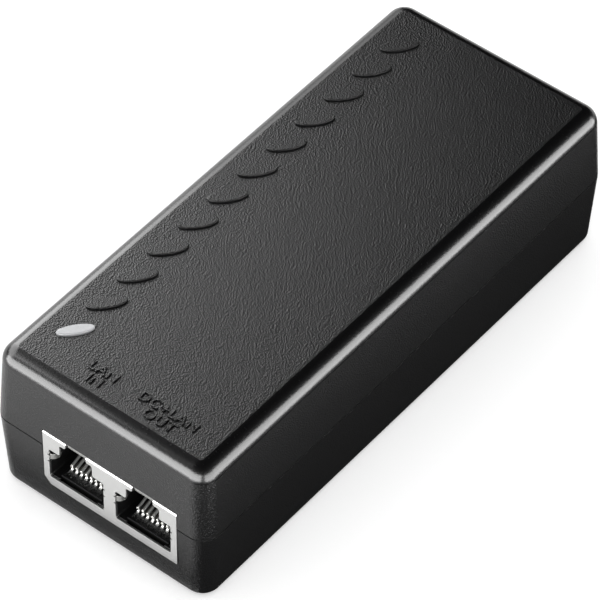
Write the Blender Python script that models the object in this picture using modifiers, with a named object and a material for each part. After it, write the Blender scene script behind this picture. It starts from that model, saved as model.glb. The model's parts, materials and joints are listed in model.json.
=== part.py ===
"""Single-port power-over-Ethernet injector, modelled as the separate pieces it is assembled from.

Every size and place below is in millimetres, and MM turns it to metres when a mesh is made.
The origin is the middle of the base. The length runs along Y, the two-port jack faces -Y,
the mains inlet faces +Y, and +Z is up.
"""
import math

import bmesh
import bpy
from mathutils import Matrix, Vector

MM = 0.001

# Case: two drafted half shells, widest at the seam where they meet
CASE_LENGTH = 107.0
CASE_WIDTH = 44.8
CASE_HEIGHT = 30.4
SEAM_HEIGHT = 14.9
SEAM_GAP = 0.24
WALL = 2.0
UPPER_DRAFT = 2.8
LOWER_DRAFT = 2.6
CORNER_RADIUS = 3.3
TOP_RADIUS = 2.9
BASE_RADIUS = 1.1
INNER_EDGE_RADIUS = 0.9
CEILING = CASE_HEIGHT - WALL

# The bottom shell's tongue stands up inside the rebate of the top shell
TONGUE_INSET = 1.15
TONGUE_RISE = 1.2
REBATE_INSET = 0.85
REBATE_RISE = 1.5

# Row of slanted oval pads along the left top edge; the front one is the lens of the light pipe
PAD_X = -14.05
LENS_Y = -41.8
PAD_PITCH = 7.65
PAD_COUNT = 11
PAD_SEMI = (3.45, 1.27)
PAD_ANGLE = 51.5
PAD_RISE = 0.4
LENS_SEMI = (3.25, 1.1)
LENS_GAP = 0.12

# Screws from below, through the bottom shell's bosses into the top shell's
BOSS_X = 17.3
BOSS_YS = (-31.5, 46.6)
BOSS_JOINT = 6.5
LOWER_BOSS_RADIUS = 3.2
UPPER_BOSS_RADIUS = 2.5
SCREW_HEAD_RADIUS = 2.2
SCREW_HEAD_LOW = 0.8
SCREW_SEAT = 2.8
SCREW_RADIUS = 1.25
SCREW_TIP = 21.0
SCREW_PLAY = 0.2
SCREW_POINT_RADIUS = 0.4
SCREW_POINT_LENGTH = 1.6
DRIVE_RECESS = (("across", 1.3, 0.25), ("along", 0.25, 1.35))

# Circuit board, and the height at which its components stand
BOARD_LOW = 4.2
BOARD_TOP = 5.8
BOARD_HALF = (19.2, 50.6)
BOARD_NOTCH_RADIUS = 3.6
BOARD_POSTS = ((-12.0, -20.0), (12.0, -20.0), (-12.0, 24.0), (12.0, 24.0))
POST_RADIUS = 1.5
FILM_LOW = BOARD_LOW - 1.6
FILM_THICKNESS = 0.3
FILM_HALF = (18.6, 49.8)
FILM_HOLE_RADIUS = 1.9
GAP = 0.3
PART_LOW = BOARD_TOP + GAP

# Indicator: the diode on the board, and the light pipe's flange and stem under the lens
LED_HALF = (1.6, 1.4)
LED_TOP = PART_LOW + 1.9
PIPE_FLANGE = (4.3, 2.1)
PIPE_STEM_RADIUS = 1.4

# Two-port modular jack in the front face
JACK_X = 2.45
JACK_HALF_WIDTH = 13.95
JACK_FRONT = -53.45
JACK_REAR = -38.5
JACK_LOW = PART_LOW
JACK_TOP = 18.3
SHEET = 0.3
JACK_FIT = 0.15
PORT_PITCH = 13.97
PORT_DEPTH = 12.0
PORT_STEPS = ((5.75, 8.05, 14.65), (3.45, 14.0, 17.1), (2.15, 16.5, 17.85))
NOTCH_HALF_WIDTH = 2.15

# Contacts: a fixed leg on an insert in the port's floor, and a sprung arm beyond a hairpin bend
CONTACT_COUNT = 8
CONTACT_PITCH = 1.02
CONTACT_RADIUS = 0.2
HAIRPIN_Y = -50.75
HAIRPIN_Z = 8.9
HAIRPIN_RADIUS = 0.5
ARM_ANGLE = 20.0
ARM_LENGTH = 7.6
INSERT_HALF_WIDTH = 4.3
INSERT_LOW = 7.2
INSERT_TOP = 8.3

# Mains inlet in the rear face, three poles, earth above
INLET_HALF = (13.8, 9.9)
INLET_Z = 16.0
INLET_REAR = 53.45
INLET_DEPTH = 20.0
INLET_WELL_HALF = (12.1, 8.3)
INLET_WELL_DEPTH = 16.0
INLET_CHAMFER = 3.4
BLADE_WIDTH = 2.0
BLADE_HEIGHT = 4.0
BLADE_TIP = 49.8
BLADE_TAIL = 31.0
BLADE_PLACES = (("inlet_blade_line", -7.0, -2.0), ("inlet_blade_neutral", 7.0, -2.0),
                ("inlet_blade_earth", 0.0, 2.0))

# Upright power package: moulded body, metal tab behind its upper part and three legs
PACKAGE_BASE = PART_LOW + 3.2
PACKAGE_HALF_WIDTH = 5.0
PACKAGE_HEIGHT = 9.2
PACKAGE_DEPTH = 4.4
TAB_NEAR = 3.1
TAB_LOW = 8.0
TAB_TOP = 15.4
TAB_HOLE_HEIGHT = 12.4
TAB_HOLE_RADIUS = 1.8
PACKAGE_LEG_PITCH = 2.54
PACKAGE_LEG_HALF = 0.4
PACKAGE_LEG_DEPTHS = (1.8, 2.3)

# Heatsinks and the screws that hold the packages against them
SINK_HEIGHT = 19.0
SINK_SHEET = 1.5
SINK_HOLE_RADIUS = 1.65
SINK_SCREW_HEAD = (2.7, 1.9)
SINK_SCREW_SLOPE = 0.8
SINK_SCREW_RADIUS = 1.4
SINK_SCREW_LENGTH = 6.0

# Common-mode choke: inner and outer radius and half width of its ring, and how thick the wire lies
CHOKE_PLACE = (-11.0, 12.0, PART_LOW + 9.4)
CHOKE_RING = (4.2, 7.2, 3.0)
CHOKE_WIRE = 1.0
CHOKE_HALF_SPLIT = 1.6

# Transformer: half widths of its core's middle leg, windows and outer legs, and of its length
TRANSFORMER_PLACE = (2.0, -9.5, PART_LOW + 9.2)
CORE_LEG = 2.8
CORE_WINDOW = 2.05
CORE_BACK = 2.8
CORE_HALF_LENGTH = 9.0
BOBBIN_WALL = 0.5
BOBBIN_HALF_LENGTH = 5.8
BOBBIN_FLANGE_HALF = 0.35
BOBBIN_RAIL_HALF_WIDTH = 8.6
BOBBIN_RAIL_HEIGHT = 3.2
WINDING_HALF_LENGTH = 5.0
WINDING_CORNER = 1.2

# Finish of each material: base colour, roughness, metallic
FINISHES = {
    "black_plastic": ((0.028, 0.028, 0.031), 0.42, 0.0),
    "jack_plastic": ((0.012, 0.012, 0.013), 0.35, 0.0),
    "clear_plastic": ((0.62, 0.63, 0.64), 0.25, 0.0),
    "tinned_steel": ((0.68, 0.68, 0.67), 0.3, 1.0),
    "contact_gold": ((0.82, 0.71, 0.45), 0.22, 1.0),
    "brass_plated": ((0.73, 0.73, 0.72), 0.25, 1.0),
    "zinc_steel": ((0.55, 0.56, 0.58), 0.35, 1.0),
    "board_green": ((0.03, 0.17, 0.07), 0.5, 0.0),
    "sheet_film": ((0.75, 0.72, 0.62), 0.4, 0.0),
    "led_white": ((0.85, 0.85, 0.8), 0.4, 0.0),
    "fuse_brown": ((0.13, 0.05, 0.03), 0.4, 0.0),
    "thermistor_green": ((0.05, 0.14, 0.09), 0.5, 0.0),
    "film_yellow": ((0.75, 0.55, 0.06), 0.4, 0.0),
    "ferrite": ((0.045, 0.045, 0.05), 0.7, 0.0),
    "enamelled_copper": ((0.55, 0.22, 0.08), 0.3, 1.0),
    "epoxy_black": ((0.02, 0.02, 0.022), 0.55, 0.0),
    "capacitor_sleeve": ((0.015, 0.02, 0.05), 0.3, 0.0),
    "heatsink_aluminium": ((0.62, 0.63, 0.64), 0.35, 1.0),
    "tape_yellow": ((0.8, 0.6, 0.05), 0.35, 0.0),
    "disc_blue": ((0.03, 0.13, 0.45), 0.4, 0.0),
}


# ---------------------------------------------------------------- scene and collections

for old in list(bpy.data.objects):
    bpy.data.objects.remove(old)

PARTS = bpy.data.collections.new("poe_injector")
CUTTERS = bpy.data.collections.new("cutters")
bpy.context.scene.collection.children.link(PARTS)
bpy.context.scene.collection.children.link(CUTTERS)


def material(name):
    """The material of that finish, made the first time it is asked for."""
    known = bpy.data.materials.get(name)
    if known:
        return known
    colour, roughness, metallic = FINISHES[name]
    made = bpy.data.materials.new(name)
    made.use_nodes = True
    shader = made.node_tree.nodes["Principled BSDF"]
    shader.inputs["Base Color"].default_value = (*colour, 1.0)
    shader.inputs["Roughness"].default_value = roughness
    shader.inputs["Metallic"].default_value = metallic
    return made


def piece(obj, finish):
    """Put an object among the parts, with its finish and smooth shading split at sharp edges."""
    CUTTERS.objects.unlink(obj)
    PARTS.objects.link(obj)
    obj.hide_render = False
    obj.display_type = "TEXTURED"
    obj.data.materials.append(material(finish))
    obj.data.shade_smooth()
    obj.data.set_sharp_from_angle(angle=math.radians(35))
    return obj


# ---------------------------------------------------------------- shapes; each starts as a hidden guide

def guide(name, mesh):
    """A new object among the cutters, hidden from the build until it is made a piece."""
    obj = bpy.data.objects.new(name, mesh)
    CUTTERS.objects.link(obj)
    obj.hide_render = True
    obj.display_type = "WIRE"
    return obj


def from_bmesh(name, bm):
    """Object of a bmesh given in millimetres."""
    bmesh.ops.scale(bm, vec=(MM, MM, MM), verts=bm.verts)
    mesh = bpy.data.meshes.new(name)
    bm.to_mesh(mesh)
    bm.free()
    return guide(name, mesh)


def box(name, low, high):
    """Block between two opposite corners."""
    low, high = Vector(low), Vector(high)
    bm = bmesh.new()
    bmesh.ops.create_cube(bm, size=1.0)
    bmesh.ops.scale(bm, vec=high - low, verts=bm.verts)
    bmesh.ops.translate(bm, vec=(low + high) / 2, verts=bm.verts)
    return from_bmesh(name, bm)


def along(axis):
    """Rotation that turns +Z to the named axis: X and Y shapes are drawn in (Y, Z) and (X, Z)."""
    if axis == "X":
        return Matrix(((0, 0, 1), (1, 0, 0), (0, 1, 0))).to_4x4()
    if axis == "Y":
        return Matrix(((1, 0, 0), (0, 0, -1), (0, 1, 0))).to_4x4()
    return Matrix.Identity(4)


def rod(name, centre, radius, low, high, axis="Z", segments=20):
    """Cylinder along an axis from low to high; centre holds its other two coordinates."""
    bm = bmesh.new()
    bmesh.ops.create_cone(bm, cap_ends=True, segments=segments, radius1=radius, radius2=radius,
                          depth=high - low)
    at = {"X": (0, *centre), "Y": (centre[0], 0, centre[1]), "Z": (*centre, 0)}[axis]
    step = {"X": (1, 0, 0), "Y": (0, 1, 0), "Z": (0, 0, 1)}[axis]
    place = Vector(at) + Vector(step) * (low + high) / 2
    bmesh.ops.transform(bm, matrix=Matrix.Translation(place) @ along(axis), verts=bm.verts)
    return from_bmesh(name, bm)


def oval(name, centre, semi, angle, low, high, segments=24):
    """Upright elliptic block whose long axis is turned by an angle from +X."""
    bm = bmesh.new()
    bmesh.ops.create_cone(bm, cap_ends=True, segments=segments, radius1=1.0, radius2=1.0,
                          depth=high - low)
    bmesh.ops.scale(bm, vec=(*semi, 1.0), verts=bm.verts)
    turn = Matrix.Rotation(math.radians(angle), 4, "Z")
    place = Matrix.Translation((*centre, (low + high) / 2))
    bmesh.ops.transform(bm, matrix=place @ turn, verts=bm.verts)
    return from_bmesh(name, bm)


def mesh_of_curve(name, curve_object):
    """Closed mesh object that replaces a curve object."""
    bpy.context.view_layer.update()
    graph = bpy.context.evaluated_depsgraph_get()
    mesh = bpy.data.meshes.new_from_object(curve_object.evaluated_get(graph))
    mesh.transform(curve_object.matrix_world)
    bpy.data.objects.remove(curve_object)
    bm = bmesh.new()
    bm.from_mesh(mesh)
    bmesh.ops.remove_doubles(bm, verts=bm.verts, dist=1e-7)
    bmesh.ops.recalc_face_normals(bm, faces=bm.faces)
    bm.to_mesh(mesh)
    bm.free()
    mesh.name = name
    return guide(name, mesh)


def add_spline(curve, points, closed):
    """Straight-sided spline through points given in millimetres."""
    spline = curve.splines.new("POLY")
    spline.points.add(len(points) - 1)
    for knot, point in zip(spline.points, points):
        at = Vector(point).to_3d() * MM
        knot.co = (*at, 1.0)
    spline.use_cyclic_u = closed


def flat_shape(name, outlines, low, high, axis="Z"):
    """Flat outlines extruded along an axis; an outline inside another is a hole."""
    curve = bpy.data.curves.new(name, "CURVE")
    curve.dimensions = "2D"
    curve.fill_mode = "BOTH"
    curve.extrude = (high - low) / 2 * MM
    for outline in outlines:
        add_spline(curve, outline, closed=True)
    obj = bpy.data.objects.new(name, curve)
    CUTTERS.objects.link(obj)
    step = {"X": (1, 0, 0), "Y": (0, 1, 0), "Z": (0, 0, 1)}[axis]
    middle = Vector(step) * (low + high) / 2 * MM
    obj.matrix_world = Matrix.Translation(middle) @ along(axis)
    return mesh_of_curve(name, obj)


def wires(name, paths, radius):
    """Round wires along open paths, as one object of separate islands."""
    curve = bpy.data.curves.new(name, "CURVE")
    curve.dimensions = "3D"
    curve.bevel_depth = radius * MM
    curve.bevel_resolution = 1
    curve.use_fill_caps = True
    for path in paths:
        add_spline(curve, path, closed=False)
    obj = bpy.data.objects.new(name, curve)
    CUTTERS.objects.link(obj)
    return mesh_of_curve(name, obj)


def turned(name, profile, centre, axis="Z", steps=20, closed=False):
    """Turned piece: a profile of (radius, height) points from the top down, spun by a Screw."""
    bm = bmesh.new()
    verts = [bm.verts.new((radius, 0, height)) for radius, height in profile]
    following = verts[1:] + verts[:1] if closed else verts[1:]
    for upper, lower in zip(verts, following):
        bm.edges.new((upper, lower))
    obj = from_bmesh(name, bm)
    obj.matrix_world = Matrix.Translation(Vector(centre) * MM) @ along(axis)
    spin = obj.modifiers.new("turn", "SCREW")
    spin.steps = steps
    spin.render_steps = steps
    spin.use_merge_vertices = True
    spin.merge_threshold = 0.000005
    return obj


def islands(name, objects):
    """One object that holds several separate guides, to join or cut them in one step."""
    bm = bmesh.new()
    for obj in objects:
        obj.data.transform(obj.matrix_world)
        bm.from_mesh(obj.data)
        bpy.data.objects.remove(obj)
    mesh = bpy.data.meshes.new(name)
    bm.to_mesh(mesh)
    bm.free()
    return guide(name, mesh)


def boolean(target, operand, operation):
    """Boolean modifier on the target; the operand stays a hidden guide."""
    change = target.modifiers.new(operand.name, "BOOLEAN")
    change.operation = operation
    change.object = operand
    change.solver = "EXACT"


def cut(target, *operands):
    """Take each operand away from the target."""
    for operand in operands:
        boolean(target, operand, "DIFFERENCE")


def join(target, *operands):
    """Unite each operand with the target."""
    for operand in operands:
        boolean(target, operand, "UNION")


def round_edges(obj, width, segments=2):
    """Bevel on every edge sharper than 40 degrees."""
    bevel = obj.modifiers.new("rounding", "BEVEL")
    bevel.width = width * MM
    bevel.segments = segments
    bevel.limit_method = "ANGLE"
    bevel.angle_limit = math.radians(40)


def rectangle(half_width, half_height, at=(0.0, 0.0)):
    """Four corners of a rectangle about a point."""
    x, y = at
    return [(x - half_width, y - half_height), (x + half_width, y - half_height),
            (x + half_width, y + half_height), (x - half_width, y + half_height)]


# ---------------------------------------------------------------- case shells

def case_half_size(height):
    """Half width and half length of the case's outside at a height, from the seam and the draft."""
    draft = UPPER_DRAFT if height > SEAM_HEIGHT else LOWER_DRAFT
    taper = abs(height - SEAM_HEIGHT) * math.tan(math.radians(draft))
    return CASE_WIDTH / 2 - taper, CASE_LENGTH / 2 - taper


def drafted_block(name, inset, near, far, corner, edge):
    """Block that follows the case's draft from near to far, with round corners and a round far edge."""
    bm = bmesh.new()
    bmesh.ops.create_cube(bm, size=2.0)
    upright = [e for e in bm.edges if abs(e.verts[0].co.z - e.verts[1].co.z) > 1.0]
    low, high = min(near, far), max(near, far)
    for vert in bm.verts:
        height = high if vert.co.z > 0 else low
        half_width, half_length = case_half_size(height)
        vert.co = (vert.co.x * (half_width - inset), vert.co.y * (half_length - inset), height)
    bmesh.ops.bevel(bm, geom=upright, offset=corner, segments=5, profile=0.5, affect="EDGES")
    if edge:
        rim = [e for e in bm.edges if all(abs(v.co.z - far) < 1e-5 for v in e.verts)]
        bmesh.ops.bevel(bm, geom=rim, offset=edge, segments=4, profile=0.5, affect="EDGES")
    return from_bmesh(name, bm)


def boss_places():
    """The four screw places, in plan."""
    return [(side * BOSS_X, y) for y in BOSS_YS for side in (-1, 1)]


def boss_rods(name, radius, low, high):
    """One rod at each screw place."""
    return islands(name, [rod(f"{name}_rod", place, radius, low, high) for place in boss_places()])


def jack_window():
    """Cutter for the jack's window in the front wall."""
    reach = JACK_HALF_WIDTH + JACK_FIT
    return box("jack_window", (JACK_X - reach, -60, JACK_LOW - JACK_FIT),
               (JACK_X + reach, -50, JACK_TOP + JACK_FIT))


def inlet_window():
    """Cutter for the inlet's window in the rear wall."""
    half_width, half_height = (size + JACK_FIT for size in INLET_HALF)
    return box("inlet_window", (-half_width, 50, INLET_Z - half_height),
               (half_width, 60, INLET_Z + half_height))


def pads():
    """The row of slanted oval pads, standing on the top face."""
    places = [(PAD_X, LENS_Y + PAD_PITCH * (index + 1)) for index in range(PAD_COUNT)]
    rows = [oval("pad", place, PAD_SEMI, PAD_ANGLE, CASE_HEIGHT - 0.8, CASE_HEIGHT + PAD_RISE)
            for place in places]
    return islands("pads", rows)


def top_shell(windows):
    """Upper half of the case: pads outside, screw bosses and a rebate for the tongue inside."""
    shell = drafted_block("top_shell", 0.0, SEAM_HEIGHT + SEAM_GAP / 2, CASE_HEIGHT,
                          CORNER_RADIUS, TOP_RADIUS)
    join(shell, pads())
    cut(shell, drafted_block("top_hollow", WALL, SEAM_HEIGHT - 1, CEILING,
                             CORNER_RADIUS - WALL, INNER_EDGE_RADIUS))
    cut(shell, drafted_block("rebate", REBATE_INSET, SEAM_HEIGHT - 1, SEAM_HEIGHT + REBATE_RISE,
                             CORNER_RADIUS - REBATE_INSET, 0.0))
    join(shell, boss_rods("upper_bosses", UPPER_BOSS_RADIUS, BOSS_JOINT + GAP, CEILING + 0.6))
    cut(shell, boss_rods("pilot_holes", SCREW_RADIUS + SCREW_PLAY, BOSS_JOINT - 1, SCREW_TIP + 1))
    lens_hole = [size + LENS_GAP for size in LENS_SEMI]
    cut(shell, oval("lens_hole", (PAD_X, LENS_Y), lens_hole, PAD_ANGLE, CEILING - 1,
                    CASE_HEIGHT + 1))
    cut(shell, *windows)
    return piece(shell, "black_plastic")


def bottom_shell(windows):
    """Lower half of the case: tongue round its rim, screw bosses and posts for the board."""
    shell = drafted_block("bottom_shell", 0.0, SEAM_HEIGHT - SEAM_GAP / 2, 0.0,
                          CORNER_RADIUS, BASE_RADIUS)
    join(shell, drafted_block("tongue", TONGUE_INSET, SEAM_HEIGHT - 2, SEAM_HEIGHT + TONGUE_RISE,
                              CORNER_RADIUS - TONGUE_INSET, 0.0))
    cut(shell, drafted_block("bottom_hollow", WALL, SEAM_HEIGHT + 3, WALL,
                             CORNER_RADIUS - WALL, INNER_EDGE_RADIUS))
    join(shell, boss_rods("lower_bosses", LOWER_BOSS_RADIUS, 1.2, BOSS_JOINT))
    cut(shell, boss_rods("counterbores", SCREW_HEAD_RADIUS + SCREW_PLAY, -1, SCREW_SEAT))
    cut(shell, boss_rods("shank_holes", SCREW_RADIUS + SCREW_PLAY, SCREW_SEAT - 1, BOSS_JOINT + 1))
    posts = [rod("post", place, POST_RADIUS, WALL - 0.6, BOARD_LOW - GAP, segments=16)
             for place in BOARD_POSTS]
    join(shell, islands("board_posts", posts))
    cut(shell, *windows)
    return piece(shell, "black_plastic")


def case_screws():
    """Four self-tapping screws, heads down in the counterbores."""
    seat = SCREW_SEAT - 0.15
    profile = [(0, SCREW_TIP), (SCREW_POINT_RADIUS, SCREW_TIP),
               (SCREW_RADIUS, SCREW_TIP - SCREW_POINT_LENGTH),
               (SCREW_RADIUS, seat), (SCREW_HEAD_RADIUS, seat),
               (SCREW_HEAD_RADIUS, SCREW_HEAD_LOW + 0.6), (SCREW_HEAD_RADIUS - 0.6, SCREW_HEAD_LOW),
               (0, SCREW_HEAD_LOW)]
    for number, (x, y) in enumerate(boss_places(), start=1):
        screw = turned(f"case_screw_{number}", profile, (x, y, 0))
        for label, half_x, half_y in DRIVE_RECESS:
            cut(screw, box(f"drive_{label}_{number}", (x - half_x, y - half_y, SCREW_HEAD_LOW - 0.5),
                           (x + half_x, y + half_y, SCREW_HEAD_LOW + 1)))
        piece(screw, "zinc_steel")


# ---------------------------------------------------------------- board, sheet and indicator

def main_board():
    """Circuit board, notched round the screw bosses."""
    board = box("main_board", (-BOARD_HALF[0], -BOARD_HALF[1], BOARD_LOW), (*BOARD_HALF, BOARD_TOP))
    cut(board, boss_rods("board_notches", BOARD_NOTCH_RADIUS, BOARD_LOW - 1, BOARD_TOP + 1))
    return piece(board, "board_green")


def insulation_sheet():
    """Film under the board, with holes for the posts and notches for the bosses."""
    low, high = FILM_LOW - 1, FILM_LOW + 1
    sheet = box("insulation_sheet", (-FILM_HALF[0], -FILM_HALF[1], FILM_LOW),
                (*FILM_HALF, FILM_LOW + FILM_THICKNESS))
    cut(sheet, boss_rods("sheet_notches", BOARD_NOTCH_RADIUS + 0.1, low, high))
    holes = [rod("hole", place, FILM_HOLE_RADIUS, low, high, segments=16) for place in BOARD_POSTS]
    cut(sheet, islands("sheet_holes", holes))
    return piece(sheet, "sheet_film")


def indicator():
    """Light-emitting diode on the board, and the light pipe that leads up to the oval lens."""
    half_x, half_y = LED_HALF
    led = box("led", (PAD_X - half_x, LENS_Y - half_y, PART_LOW),
              (PAD_X + half_x, LENS_Y + half_y, LED_TOP))
    round_edges(led, 0.2)
    piece(led, "led_white")
    pipe = oval("light_pipe", (PAD_X, LENS_Y), LENS_SEMI, PAD_ANGLE, CEILING - 0.8,
                CASE_HEIGHT + PAD_RISE)
    join(pipe, oval("flange", (PAD_X, LENS_Y), PIPE_FLANGE, PAD_ANGLE, CEILING - 1.5, CEILING - GAP))
    join(pipe, rod("stem", (PAD_X, LENS_Y), PIPE_STEM_RADIUS, LED_TOP + GAP, CEILING - 1.0,
                   segments=20))
    piece(pipe, "clear_plastic")


# ---------------------------------------------------------------- two-port jack

def port_centres():
    """X of the left and the right port."""
    return (JACK_X - PORT_PITCH / 2, JACK_X + PORT_PITCH / 2)


def port_cutters(name, centre, front, rear, play):
    """The stepped plug opening: main body, shoulder and latch slot, from front to rear."""
    cutters = []
    for number, (half_width, low, high) in enumerate(PORT_STEPS):
        corner = (centre - half_width - play, front, low - play)
        opposite = (centre + half_width + play, rear, high + play)
        cutters.append(box(f"{name}_{number}", corner, opposite))
    return cutters


def jack_shield():
    """Folded sheet-metal cover: face plate, top, sides and back, open below."""
    shield = box("jack_shield", (JACK_X - JACK_HALF_WIDTH, JACK_FRONT, JACK_LOW),
                 (JACK_X + JACK_HALF_WIDTH, JACK_REAR, JACK_TOP))
    inner = JACK_HALF_WIDTH - SHEET
    cut(shield, box("shield_hollow", (JACK_X - inner, JACK_FRONT + SHEET, JACK_LOW - 1),
                    (JACK_X + inner, JACK_REAR - SHEET, JACK_TOP - SHEET)))
    plate_rear = JACK_FRONT + SHEET + 0.05
    for side, centre in zip(("left", "right"), port_centres()):
        cut(shield, *port_cutters(f"{side}_plate_hole", centre, -55, plate_rear, 0.0))
        cut(shield, box(f"{side}_latch_notch", (centre - NOTCH_HALF_WIDTH, -55, 17.0),
                        (centre + NOTCH_HALF_WIDTH, plate_rear, JACK_TOP + 1)))
    return piece(shield, "tinned_steel")


def jack_housing():
    """Moulded body inside the shield, with two plug cavities and a channel for each insert."""
    half_width = JACK_HALF_WIDTH - SHEET - JACK_FIT
    front = JACK_FRONT + SHEET + JACK_FIT
    rear = JACK_REAR - SHEET - JACK_FIT
    housing = box("jack_housing", (JACK_X - half_width, front, JACK_LOW + 0.1),
                  (JACK_X + half_width, rear, JACK_TOP - SHEET - JACK_FIT))
    channel = INSERT_HALF_WIDTH + JACK_FIT
    for side, centre in zip(("left", "right"), port_centres()):
        cut(housing, *port_cutters(f"{side}_cavity", centre, front - 1, JACK_FRONT + PORT_DEPTH, 0.05))
        cut(housing, box(f"{side}_channel", (centre - channel, front - 1, INSERT_LOW - JACK_FIT),
                         (centre + channel, rear - 0.5, INSERT_TOP + 0.5)))
        cut(housing, box(f"{side}_tail_slot", (centre - channel, rear - 3.0, JACK_LOW - 1),
                         (centre + channel, rear - 0.5, INSERT_LOW + 0.5)))
    return piece(housing, "jack_plastic")


def contact_xs(centre):
    """X of the eight contacts of a port."""
    first = centre - CONTACT_PITCH * (CONTACT_COUNT - 1) / 2
    return [first + CONTACT_PITCH * index for index in range(CONTACT_COUNT)]


def contact_insert(side, centre):
    """Moulded bar in the port's floor with the eight fixed legs and their solder tails."""
    rear = JACK_REAR - SHEET - JACK_FIT - 0.65
    bar = box(f"{side}_contact_insert", (centre - INSERT_HALF_WIDTH, HAIRPIN_Y - 1.6, INSERT_LOW),
              (centre + INSERT_HALF_WIDTH, rear, INSERT_TOP))
    leg_z = HAIRPIN_Z - HAIRPIN_RADIUS
    legs = []
    for index, x in enumerate(contact_xs(centre)):
        tail_y = rear - 0.6 - 1.3 * (index % 2)
        legs.append([(x, HAIRPIN_Y + GAP, leg_z), (x, tail_y, leg_z), (x, tail_y, JACK_LOW + 0.1)])
    join(bar, wires(f"{side}_legs", legs, CONTACT_RADIUS))
    return piece(bar, "contact_gold")


def arm_path(x):
    """Sprung arm: round the hairpin from its lower end, then straight up towards the rear."""
    start, finish, steps = math.radians(270), math.radians(90 + ARM_ANGLE), 7
    path = []
    for step in range(steps + 1):
        angle = start + (finish - start) * step / steps
        path.append(Vector((x, HAIRPIN_Y + HAIRPIN_RADIUS * math.cos(angle),
                            HAIRPIN_Z + HAIRPIN_RADIUS * math.sin(angle))))
    rise = math.radians(ARM_ANGLE)
    path.append(path[-1] + Vector((0, math.cos(rise), math.sin(rise))) * ARM_LENGTH)
    return path


def contacts(side, centre):
    """The port's eight sprung arms, with their origins on the hairpins' common axis."""
    pivot = Vector((0, HAIRPIN_Y, HAIRPIN_Z)) * MM
    for number, x in enumerate(contact_xs(centre), start=1):
        arm = wires(f"{side}_contact_{number}", [arm_path(x)], CONTACT_RADIUS)
        arm.data.transform(Matrix.Translation(-pivot))
        arm.location = pivot
        piece(arm, "contact_gold")


# ---------------------------------------------------------------- mains inlet

def inlet_body():
    """Moulded inlet with a keyed well, and slots for the three blades."""
    front = INLET_REAR - INLET_DEPTH
    body = box("inlet_body", (-INLET_HALF[0], front, INLET_Z - INLET_HALF[1]),
               (INLET_HALF[0], INLET_REAR, INLET_Z + INLET_HALF[1]))
    width, height = INLET_WELL_HALF
    well = [(-width, INLET_Z - height), (width, INLET_Z - height),
            (width, INLET_Z + height - INLET_CHAMFER), (width - INLET_CHAMFER, INLET_Z + height),
            (INLET_CHAMFER - width, INLET_Z + height), (-width, INLET_Z + height - INLET_CHAMFER)]
    cut(body, flat_shape("inlet_well", [well], INLET_REAR - INLET_WELL_DEPTH, INLET_REAR + 1, "Y"))
    for name, x, offset in BLADE_PLACES:
        slot = rectangle(BLADE_WIDTH / 2 + JACK_FIT, BLADE_HEIGHT / 2 + JACK_FIT,
                         (x, INLET_Z + offset))
        cut(body, flat_shape(f"{name}_slot", [slot], front - 1, INLET_REAR - INLET_WELL_DEPTH + 1,
                             "Y"))
    return piece(body, "jack_plastic")


def inlet_blades():
    """Three flat blades, each with a tail bent down to the board."""
    for name, x, offset in BLADE_PLACES:
        low = INLET_Z + offset - BLADE_HEIGHT / 2
        top = low + BLADE_HEIGHT
        outline = [(BLADE_TAIL, PART_LOW), (BLADE_TAIL + 1.5, PART_LOW), (BLADE_TAIL + 1.5, low),
                   (BLADE_TIP - 0.8, low), (BLADE_TIP, low + 0.8), (BLADE_TIP, top - 0.8),
                   (BLADE_TIP - 0.8, top), (BLADE_TAIL, top)]
        blade = flat_shape(name, [outline], x - BLADE_WIDTH / 2, x + BLADE_WIDTH / 2, "X")
        piece(blade, "brass_plated")


# ---------------------------------------------------------------- components on the board

def leg_boxes(name, places, top, half=(0.4, 0.25)):
    """Straight square legs from the board up to a height."""
    legs = [box(name, (x - half[0], y - half[1], PART_LOW), (x + half[0], y + half[1], top))
            for x, y in places]
    return islands(f"{name}_legs", legs)


def chip(name, low, high, leads_per_side, pitch):
    """Moulded chip between two corners, with bent leads along both sides that face X."""
    body = box(name, low, high)
    middle_y = (low[1] + high[1]) / 2
    seat = (low[2] + high[2]) / 2
    reach, thick = 0.9, 0.25
    leads = []
    for side, edge in ((-1, low[0]), (1, high[0])):
        outer = edge + side * reach
        shape = [(edge - side * 0.3, seat), (edge - side * 0.3, seat + thick),
                 (outer, seat + thick), (outer, PART_LOW), (outer - side * thick, PART_LOW),
                 (outer - side * thick, seat)]
        for index in range(leads_per_side):
            y = middle_y + pitch * (index - (leads_per_side - 1) / 2)
            leads.append(flat_shape(f"{name}_lead", [shape], y - 0.25, y + 0.25, "Y"))
    join(body, islands(f"{name}_leads", leads))
    return piece(body, "epoxy_black")


def disc_part(name, x, y, radius, thickness, finish):
    """Round dipped disc standing on two legs, its flat sides facing X."""
    stand_off, leg_spread, leg_half = 2.2, 2.5, 0.25
    middle = PART_LOW + stand_off + radius
    half = thickness / 2
    crown, rim = radius * 0.75, half * 0.45
    profile = [(0, half), (crown, half), (radius, rim), (radius, -rim), (crown, -half), (0, -half)]
    disc = turned(name, profile, (x, y, middle), "X", steps=20)
    legs = leg_boxes(name, [(x, y - leg_spread), (x, y + leg_spread)], middle - radius / 2,
                     (leg_half, leg_half))
    join(disc, legs)
    return piece(disc, finish)


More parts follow.
